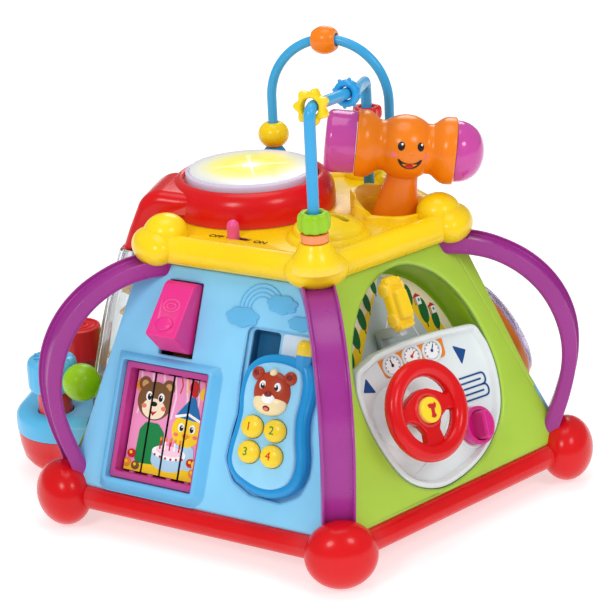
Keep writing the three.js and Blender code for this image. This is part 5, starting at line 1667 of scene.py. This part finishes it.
FACE_X, FACE_Y = 2.8, 2.1
face_groups = []
for s in (-1, 1):
    face_groups.append(badge(FACE_X + s * 6.0, FACE_Y + 3.6, 2.2, 2.8, M["ink"]))
    face_groups.append(badge(FACE_X + s * 6.0 + 0.5, FACE_Y + 4.8, 0.7, 0.8, M["print_white"], 0.6))
    face_groups.append(badge(FACE_X + s * 10.4, FACE_Y - 2.6, 2.6, 1.9, M["cheek"], 0.25))
smile_out = [(7.6 * cosd(a), -3.4 + 7.4 * sind(a)) for a in range(190, 351, 8)]
smile_in = [(6.6 * cosd(a), -3.6 + 3.6 * sind(a)) for a in range(344, 195, -8)]
face_groups.append(ball_line([(FACE_X + x, FACE_Y + y) for x, y in smile_out + smile_in], M["ink"]))
tongue = circle(2.4, 24, FACE_X, FACE_Y - 8.9, 1.3)
face_groups.append(ball_line(tongue, M["print_red"], 0.55))
nose, _, _ = on_ball(FACE_X + 0.6, FACE_Y - 0.8)
face_groups.append((ellipsoid(1.0, 1.0, 0.9, shift(*nose), 20, 10), M["orange"]))
piece("hammer_head", [(join(head, grip), M["orange"])] + face_groups, body="hammer",
      stands_for=["hammer_body"], weighted=False, angle=38)

cap_out = [(0, -31.4), (19.6, -31.4), (19.8, -33), (19.8, -44.6)] + arc(15.2, -46.0, 4.6, 0, -70,
        8) + [(12, -50.8), (0, -51)]
dome_out = [(0, 31.4), (19.4, 31.4), (19.4, 33), (19.2, 35), (18.4, 38), (17.2, 40.5), (15.4, 43.2),
            (13, 45.4), (10.2, 47.2), (7, 48.4), (3.6, 49.2), (0, 49.4)]
piece("rattle_cap", [(lathe(cap_out, 96, HM), M["violet"])], body="hammer",
      stands_for=["hammer_cap"], weighted=False)
piece("rattle_dome", [(lathe(dome_out, 96, HM), M["violet"])], body="hammer",
      stands_for=["hammer_dome"], weighted=False)
facets = []
for k in range(9):
    a = 360 * k / 9
    facets.append(slab(fillet([(-3.4, -1), (3.4, -1), (2.6, 1), (-2.6, 1)], 0.5, 3), -47, -32.6,
                       HM @ spin(a) @ shift(0, 16.0, 0), bevel=0.8, back=0.3))
core_a = lathe([(0, -32.0), (13.8, -32.0), (14.2, -36), (14.0, -44), (12.6, -46.6), (9, -47.8), (0, -48)], 18,
               HM)
core_b = lathe([(0, 32.0), (14.6, 32.0), (14.2, 36), (12.2, 40.4), (9, 43.6), (4.6, 45.2), (0, 45.6)], 20, HM)
piece("rattle_core_cap", [(join(core_a, *facets), M["core"])], body="hammer")
piece("rattle_core_dome", [(core_b, M["core"])], body="hammer")

# ---------------------------------------------------------------- wires and beads


def bend_path(corners, radii, steps=14):
    pts = [Vector(corners[0])]
    for i in range(1, len(corners) - 1):
        c = Vector(corners[i])
        a = (Vector(corners[i - 1]) - c).normalized()
        b = (Vector(corners[i + 1]) - c).normalized()
        radius = radii[i - 1]
        s, e = c + a * radius, c + b * radius
        for k in range(steps + 1):
            t = k / steps
            pts.append(s * (1 - t) ** 2 + c * 2 * t * (1 - t) + e * t * t)
    pts.append(Vector(corners[-1]))
    return pts


def even(points, step=3.0):
    length = sum((b - a).length for a, b in zip(points, points[1:]))
    out = []
    count = max(2, int(length / step))
    run = [0.0]
    for a, b in zip(points, points[1:]):
        run.append(run[-1] + (b - a).length)
    j = 0
    for i in range(count + 1):
        want = length * i / count
        while j + 2 < len(run) and run[j + 1] < want:
            j += 1
        out.append(points[j].lerp(points[j + 1], (want - run[j]) / max(run[j + 1] - run[j], 1e-9)))
    return out


front_path = even(bend_path([(0, -98, 181), FRONT_TOP, FRONT_TURN, FRONT_END, (49.6, 28, 174.5)], [8, 8, 9]),
                  1.5)
piece("front_bead_wire", [(tube(front_path, 3.5, 40), M["wire"])],
      stands_for=["front_wire"], weighted=False)
mid = (REAR_A + REAR_B) / 2
reach = REAR_B - REAR_A
arch_r = reach.length / 2
along = reach.normalized()
rear_path = [REAR_A + UP * 2] + [Vector((mid.x, mid.y, 232)) + along * (-arch_r * cosd(a)) + UP
                                 * (arch_r * sind(a))
                        for a in range(0, 181, 4)] + [REAR_B + UP * 2]
piece("rear_bead_wire", [(tube(even(rear_path, 2.0), 3.2, 40), M["wire"])],
      stands_for=["rear_wire"], weighted=False)


def ring_bead(r, height, bore, m, swing=0.0, lobes=0, power=0.8, n=96, pinch=0.0):
    """A bead with a bore: its section is a rounded block, its outline may be lobed."""
    rings = []
    for i in range(n):
        a = 2 * math.pi * i / n
        outer = r + (swing * math.cos(lobes * a) if lobes else 0)
        rc, ra = (bore + outer) / 2, (outer - bore) / 2
        ring = []
        for k in range(32):
            s = 2 * math.pi * k / 32
            c, t = math.cos(s), math.sin(s)
            cc = math.copysign(abs(c) ** power, c)
            tt = math.copysign(abs(t) ** power, t)
            squeeze = 1 - pinch * (0.5 - 0.5 * math.cos(lobes * a)) if lobes else 1
            rr = rc + ra * cc
            ring.append(m @ Vector((rr * math.cos(a), rr * math.sin(a), height / 2 * tt * squeeze)))
        rings.append(ring)
    return loft(rings, loop=True)


def solid_bead(r, height, bore, m, n=64):
    """A round bead: nearly a ball, with flat ends and a bore."""
    h = height / 2
    profile = [(bore, -h), (bore + 1.2, -h)]
    a0 = math.degrees(math.asin(min(0.999, (bore + 1.6) / r))) if r > bore else 30
    for k in range(17):
        a = math.radians(-90 + a0 + (180 - 2 * a0) * k / 16)
        profile.append((r * math.cos(a), h * math.sin(a) / sind(90 - a0)))
    profile += [(bore + 1.2, h), (bore, h)]
    return lathe(profile, n, m, loop=True)


BF, BR = 3.95, 3.65
run_dir = (FRONT_TURN - FRONT_TOP).normalized()
collar_bead = lathe([(BF, 190.4), (8.2, 190.4)] + arc(7.6, 191.2, 0.8, -60, 0, 3) + [(8.4, 195.2)]
                    + arc(7.6, 195.2, 0.8, 0, 70, 4) + [(BF, 196)], 64, shift(0, -98, 0), loop=True)
piece("orange_collar", [(collar_bead, M["orange"])], stands_for=["wire_collar"])
piece("green_pumpkin_bead", [(ring_bead(9.35, 12, BF, shift(0, -98, 202.5), 0.65, 8, 0.72), M["lime"])],
      body="green_bead_body", stands_for=["green_bead"], weighted=False)
flower_m = facing(FRONT_TOP + run_dir * 7.4 + Vector((-1.4, 0.0, -0.6)), run_dir)
piece("flower_ring_bead", [(ring_bead(9.9, 7.6, BF + 1.2, flower_m, 1.3, 7, 0.7, pinch=0.12), M["yellow"])],
      body="flower_bead_body", stands_for=["flower_bead"], weighted=False)
cog_m = facing(FRONT_TOP + run_dir * 55, run_dir)
cog_parts = [ring_bead(8.3, 7.6, BF, cog_m, 0, 0, 0.8)]
for k in range(8):
    a = math.radians(45 * k + 10)
    tip = cog_m @ Vector((8.5 * math.cos(a), 8.5 * math.sin(a), 0))
    root = cog_m @ Vector((6.4 * math.cos(a), 6.4 * math.sin(a), 0))
    cog_parts.append(tube([root, root.lerp(tip, 0.5), tip], [1.5, 1.35, 1.2], 16, True))
piece("blue_cog_bead", [(join(*cog_parts), M["mid"])], body="cog_bead_body",
      stands_for=["cog_bead"], weighted=False)
piece("red_star_bead", [(ring_bead(9.0, 9, BF, shift(49.6, 28, 232), 0.9, 5, 0.72), M["red"])],
      body="red_bead_body", stands_for=["red_bead"], weighted=False)
piece("blue_ball_bead", [(solid_bead(8.7, 15.5, BR, shift(REAR_A.x, REAR_A.y, 190.4)), M["mid"])],
      body="blue_bead_body", stands_for=["blue_bead"], weighted=False)
piece("yellow_ball_bead", [(solid_bead(10.4, 16.4, BR, shift(REAR_A.x, REAR_A.y, 206.8)), M["yellow"])],
      body="yellow_bead_body", stands_for=["yellow_bead"], weighted=False)
LEAN = math.radians(2.6)
arch_top = Vector((mid.x, mid.y, 232)) + (UP * math.cos(LEAN) - along * math.sin(LEAN)) * (arch_r - 0.6)
bead_axis = along * math.cos(LEAN) + UP * math.sin(LEAN)
piece("orange_ball_bead", [(solid_bead(9.3, 16, BR + 0.9, facing(arch_top, bead_axis)), M["orange"])],
      body="orange_bead_body", stands_for=["orange_bead"], weighted=False)

# ---------------------------------------------------------------- peg bench, ball, ball run
T = FACES["track"]


def bench_loop(inner, outer, half, r, steps=14):
    pts = [(inner, -half), (inner, half)]
    pts += [(outer - r + r * cosd(90 - 90 * i / steps), half - r + r * sind(90 - 90 * i / steps))
            for i in range(steps + 1)]
    pts += [(outer - r + r * cosd(-90 * i / steps), -half + r + r * sind(-90 * i / steps))
            for i in range(steps + 1)]
    return pts


def bench(rings_spec):
    return [[radial(T, a, t, z) for a, t in bench_loop(*spec)] for z, *spec in rings_spec]


tray_part = loft(bench([(6, 148.6, 187.6, 42.6, 29.6), (6.4, 147.6, 189.6, 44.2, 31.2),
                        (7.6, 147, 191, 45.4, 32.4), (12, 145.9, 194, 48.2, 35.2),
                        (20, 145.6, 195.8, 49.4, 36.4), (28.6, 145.6, 196.5, 50, 37),
                        (29.6, 145.8, 196.1, 49.6, 36.6), (29.8, 149.5, 193.1, 46.6, 34),
                        (28, 149.8, 192.7, 46.2, 33.6)]))
piece("bench_tray", [(tray_part, M["red"])], stands_for=["peg_tray"])

deck_rows = [(30.2, 138.2, 196.8, 50.2, 36.8), (30.8, 138.2, 197, 50.4, 37), (38, 138.2, 197, 50.4, 37),
             (40.4, 138.2, 196.6, 50, 36.6), (42.4, 138.2, 195.4, 48.8, 35.4),
             (44.2, 138.2, 193.2, 46.6, 33.2), (45.4, 138.2, 190.2, 43.6, 30.2),
             (46, 138.2, 187.2, 41.6, 28.2)]
hole_loops = [circle(12.2, 48, 165, side * 29) for side in (-1, 1)]


def bench_deck():
    loops = [bench_loop(*spec[1:]) for spec in deck_rows]
    verts, faces = [], []
    n = len(loops[0])
    for spec, loop in zip(deck_rows, loops):
        verts += [radial(T, a, t, spec[0]) for a, t in loop]
    for s in range(len(loops) - 1):
        a, b = s * n, (s + 1) * n
        for i in range(n):
            j = (i + 1) % n
            faces.append((a + i, a + j, b + j, b + i))
    last = (len(loops) - 1) * n
    index = [last + i for i in range(n)]
    rims = [loops[-1]]
    for hole in hole_loops:
        hole = ccw(hole)
        start = len(verts)
        index += list(range(start, start + len(hole)))
        rims.append(hole)
        verts += [radial(T, a, t, 46) for a, t in hole]
        low = len(verts)
        verts += [radial(T, a, t, 45.4) for a, t in grow(hole, -0.5)]
        deep = len(verts)
        verts += [radial(T, a, t, 34) for a, t in grow(hole, -0.5)]
        m = len(hole)
        for i in range(m):
            j = (i + 1) % m
            faces.append((start + j, start + i, low + i, low + j))
            faces.append((low + j, low + i, deep + i, deep + j))
        faces.append(tuple(deep + i for i in range(m)))
    for tri in fill(rims, True):
        faces.append(tuple(index[k] for k in tri))
    faces.append(tuple(range(n))[::-1])
    return verts, faces


piece("bench_top", [(bench_deck(), M["bench_blue"])], stands_for=["peg_deck"])

blue_m = shift(*radial(T, 165, 29, 0))
red_m = shift(*radial(T, 165, -29, 0))


def notch(a, r, z):
    return 1 - 0.035 * max(0.0, math.cos(10 * a)) ** 4 if z > 66 and r > 10 else 1


stem = [(0, 27), (11.2, 27), (11.2, 60)]
blue_head = lathe([(0, 61.8), (14.4, 61.8), (15.6, 62.4), (16.3, 63.6), (16.5, 65.4), (16.5, 78.6),
                   (16.1, 80.6), (15.0, 82.4), (13.4, 83.4), (11.6, 83.7), (11.0, 82.6), (6, 82.2),
                   (5.2, 83.6), (2.6, 84.0), (0, 84.0)], 120, blue_m, shape=notch)
vanes = [slab(fillet([(4.6, -0.9), (13.6, -1.3), (13.6, 1.3), (4.6, 0.9)], 0.4, 3), 80.5, 83.8,
              blue_m @ spin(36 * k), bevel=0.5) for k in range(10)]
piece("blue_press_peg", [(join(blue_head, *vanes), M["bench_blue"]),
                         (lathe(stem + [(11.0, 61.9), (0, 62)], 64, blue_m), M["red"])],
      body="blue_peg_body", stands_for=["blue_peg"])
red_head = lathe([(0, 60.6), (13.8, 60.6), (14.8, 61.2), (15.0, 62.8), (15.0, 81.8), (14.6, 83.0),
                  (13.6, 83.6), (12.6, 83.3), (12.2, 82.7), (0, 82.6)], 96, red_m)
curl = []
for k in range(90):
    t = k / 89
    a = 2 * math.pi * 2.1 * t
    curl.append((1.2 + 9.8 * t) and ((1.4 + 9.4 * t) * math.cos(a), (1.4 + 9.4 * t) * math.sin(a)))
curl_part = ridge(curl, 1.9, 0.95, red_m @ shift(0, 0, 82.6), base=-0.5)
piece("red_press_peg", [(join(red_head, curl_part, lathe(stem + [(0, 61)], 64, red_m)), M["red"])],
      body="red_peg_body", stands_for=["red_peg"])

BM = F["track"] @ shift(50, 44, 0)
piece("green_push_ball", [(join(ellipsoid(12.4, 12.4, 12.4, BM @ shift(0, 0, 18.6), 72, 36),
                                lathe([(0, -12), (7.2, -12), (7.2, -9.8), (4.6, -9.4), (4.6, 8), (0, 8)], 40,
                                      BM)), M["lime"])],
      body="green_ball_body", stands_for=["green_ball"], weighted=False)
piece("ball_collar", [(frame_around(ccw(circle(7.6, 48)), [(-1.4, -0.3), (-1.0, 1.0), (0, 1.7), (1.2, 1.5),
                                                           (1.6, -0.3)], BM), M["green"])])

# clear cover: a bent channel with side walls
COVER = catmull([Vector((a, 0, z)) for a, z in [(141.2, 47.4), (140.8, 53), (138.4, 70), (133.8, 90),
                                                (127.0, 117), (118.4, 143), (113.2, 158.0)]], 30)


def cover_part():
    rings = []
    n = len(COVER)
    for i, p in enumerate(COVER):
        t = (COVER[min(i + 1, n - 1)] - COVER[max(i - 1, 0)]).normalized()
        normal = Vector((t.z, 0, -t.x))
        foot = FOOT_APOTHEM - (p.z - FOOT_Z) * math.tan(TILT) - 0.2
        section = []
        for s, depth in ((-26, None), (-26, 3.0), (-25.2, 1.0), (-23.4, 0.0), (0, 0.0), (23.4, 0.0),
                         (25.2, 1.0), (26, 3.0), (26, None), (24.4, None), (24.4, 3.4), (23.2, 2.0), (0, 1.8),
                         (-23.2, 2.0), (-24.4, 3.4), (-24.4, None)):
            if depth is None:
                section.append(radial(T, min(foot, p.x - 3.6), s, p.z))
            else:
                q = p - normal * depth
                section.append(radial(T, q.x, s, q.z))
        rings.append(section)
    return loft(rings)


piece("ball_run_cover", [(cover_part(), M["clear"])], stands_for=["track_cover"],
      weighted=False, angle=50)
# printed card and marbles inside the run
TM = F["track"]
card = [(slab(rect(-22.5, 22.5, 24, 138, 2, 3), -0.1, 0.25, TM), M["print_cream"])]
for k, (u, v, r, mat) in enumerate(((-10, 48, 8, "print_orange"), (10, 70, 7, "print_pink"),
                                    (-8, 94, 8, "print_orange"), (9, 118, 7, "print_yellow"),
                                    (12, 44, 4, "print_green"), (-12, 70, 4, "print_blue"),
                                    (12, 94, 4, "print_red"), (-12, 122, 4, "print_green"))):
    petals = [((r + 0.22 * r * math.cos(5 * a)) * math.cos(a) + u, (r + 0.22 * r * math.cos(5 * a))
               * math.sin(a) + v) for a in [2 * math.pi * i / 60 for i in range(60)]]
    card.append((slab(petals, 0.1, 0.45, TM), M[mat]))
    card.append((slab(circle(r * 0.4, 24, u, v), 0.2, 0.6, TM), M["print_white"]))
piece("ball_run_card", card, weighted=False)
marbles = []
for u, v, w, mat in ((-14, 42.5, 4.2, "print_orange"), (13, 66.3, 4.2, "pink"),
                     (-13, 90.6, 4.2, "print_orange"), (12, 114.4, 4.2, "mid")):
    marbles.append((ellipsoid(3.6, 3.6, 3.6, TM @ shift(u, v - 1, w), 32, 16), M[mat]))
piece("ball_run_marbles", marbles, weighted=False)

# ---------------------------------------------------------------- spinner side
SM = F["spinner"] @ shift(-22, 52, 0)
disc = lathe([(0, -7), (5, -7), (5, 0.8), (38.6, 0.8), (39.6, 1.4), (40, 2.6), (40, 10), (39.6, 11.2),
              (38.6, 11.9), (38.0, 12), (0, 12)], 128, SM)
piece("spinner_disc", [(disc, M["orange"])], body="spinner",
      stands_for=["spinner_wheel"])
spokes = []
for k in range(6):
    a = 60 * k
    spokes.append((slab(fillet([(6, -2.6), (30, -6.4), (33, 0), (30, 6.4), (6, 2.6)], [1, 3, 4, 3, 1], 5),
                        11.8, 13.6, SM @ spin(a), bevel=0.6),
                   M[("red", "yellow", "lime", "mid", "pink", "yellow")[k]]))
for k in range(12):
    a = math.radians(30 * k + 15)
    spokes.append((ellipsoid(2.0, 2.0, 2.0, SM @ shift(25 * math.cos(a), 25 * math.sin(a), 14.4), 20, 10),
                   M[("mid", "lime", "red")[k % 3]]))
spokes.append((lathe([(0, 11.8), (7, 11.8), (7, 14.4), (5.4, 16.2), (0, 16.8)], 40, SM), M["white"]))
piece("spinner_star", spokes, body="spinner")
dome_line = [(37.6, 12.4), (37.5, 13.6), (36.6, 15.6), (34, 17.5), (30, 19.2), (24, 20.7), (17, 21.7),
             (9, 22.3), (0, 22.4)]
dome_under = [(0, 21.0), (9, 20.9), (17, 20.3), (24, 19.3), (30, 17.8), (34, 15.9), (36.0, 13.8),
              (36.2, 12.4)]
piece("spinner_bubble", [(lathe(dome_line + dome_under, 112, SM, loop=True), M["lilac_clear"])],
      body="spinner", stands_for=["spinner_dome"], weighted=False)
NM = F["spinner"] @ shift(-28, 108, 0)
knob = lathe([(0, -6), (8, -6), (8, 0.8), (12.6, 0.8), (13.6, 1.8), (13.6, 5.4), (13, 7.6), (11.6, 9.6),
              (9.6, 11.2), (7.2, 12.4), (4, 13.2), (0, 13.6)], 96, NM,
             shape=lambda a, r, z: 1 - 0.05 * (0.5 + 0.5 * math.cos(10 * a)) if 8.5 < r else 1)
piece("turn_knob", [(knob, M["lime"])], body="knob_body", stands_for=["side_knob"],
      weighted=False)

# ---------------------------------------------------------------- CAD nodes that are kept, with softer edges
EDGE_RADIUS_M = 0.0006
for name, mat in (("underside_cover", "red"), ("battery_door", "red"), ("battery_pack", "dark"),
                  ("circuit_board", "board"), ("speaker", "dark")):
    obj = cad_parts[name]
    obj.data.materials.clear()
    obj.data.materials.append(M[mat])
    soften = obj.modifiers.new("soft_edges", "BEVEL")
    soften.width = EDGE_RADIUS_M
    soften.segments = 2
    soften.limit_method = "ANGLE"
    soften.angle_limit = math.radians(40)

# ---------------------------------------------------------------- camera, floor, light
scene = bpy.context.scene
scene.view_settings.view_transform = "Standard"
LENS_MM, SENSOR_MM, ROLL_DEGREES = 112.8, 36, -2.763
eye, target = Vector((-0.1042, -1.1601, 0.5499)), Vector((0.0019, 0, 0.1134))
ahead = (target - eye).normalized()
right = ahead.cross(UP).normalized()
over = right.cross(ahead)
roll = math.radians(ROLL_DEGREES)
right, over = right * math.cos(roll) + over * math.sin(roll), over * math.cos(roll) - right * math.sin(roll)
camera_data = bpy.data.cameras.new("camera")
camera_data.lens = LENS_MM
camera_data.sensor_width = SENSOR_MM
camera = bpy.data.objects.new("camera", camera_data)
scene.collection.objects.link(camera)
camera.matrix_world = basis(eye, right, over, -ahead)
scene.camera = camera

floor_mesh = bpy.data.meshes.new("floor")
FLOOR_M = 6.0
floor_corners = [(FLOOR_M * a, FLOOR_M * b, 0) for a, b in ((-1, -1), (1, -1), (1, 1), (-1, 1))]
floor_mesh.from_pydata(floor_corners, [], [(0, 1, 2, 3)])
floor = bpy.data.objects.new("floor", floor_mesh)
scene.collection.objects.link(floor)
floor_mat = plastic("floor_paper", (204, 204, 204), 0.7, mottle=0.0, coat=0.0, edge=0.0, spec=0.05, glow=0.95)
floor_mesh.materials.append(floor_mat)

# The camera sees a white background; the object is lit by less, and reflects still less.
SKY_LIGHT, SKY_REFLECTED = 0.62, 0.35
world = bpy.data.worlds.new("studio")
world.use_nodes = True
tree = world.node_tree
tree.nodes["Background"].inputs["Color"].default_value = (1, 1, 1, 1)
rays_seen = node(tree, "ShaderNodeLightPath", (-700, 200))
sky = node(tree, "ShaderNodeMapRange", (-400, 200))
sky.inputs["To Min"].default_value = SKY_LIGHT
sky.inputs["To Max"].default_value = 1.0
dim = node(tree, "ShaderNodeMapRange", (-400, -100))
dim.inputs["To Min"].default_value = 1.0
dim.inputs["To Max"].default_value = SKY_REFLECTED
level = node(tree, "ShaderNodeMath", (-200, 60), operation="MULTIPLY")
tree.links.new(rays_seen.outputs["Is Camera Ray"], sky.inputs["Value"])
tree.links.new(rays_seen.outputs["Is Glossy Ray"], dim.inputs["Value"])
tree.links.new(sky.outputs["Result"], level.inputs[0])
tree.links.new(dim.outputs["Result"], level.inputs[1])
tree.links.new(level.outputs["Value"], tree.nodes["Background"].inputs["Strength"])
scene.world = world


def lamp(name, where, size_m, watts, aim=(0, 0, 0.1)):
    data = bpy.data.lights.new(name, "AREA")
    data.shape = "DISK"
    data.size = size_m
    data.energy = watts
    obj = bpy.data.objects.new(name, data)
    scene.collection.objects.link(obj)
    z = (Vector(where) - Vector(aim)).normalized()
    x = UP.cross(z).normalized()
    obj.matrix_world = basis(Vector(where), x, z.cross(x), z)


lamp("key_left", (-0.9, -1.25, 1.25), 0.5, 7.6)
lamp("key_right", (0.8, -1.2, 1.3), 0.5, 5.4)
lamp("top_soft", (0.0, 0.1, 1.9), 1.2, 7.5)
lamp("rear_soft", (0.4, 1.6, 1.2), 0.9, 6)
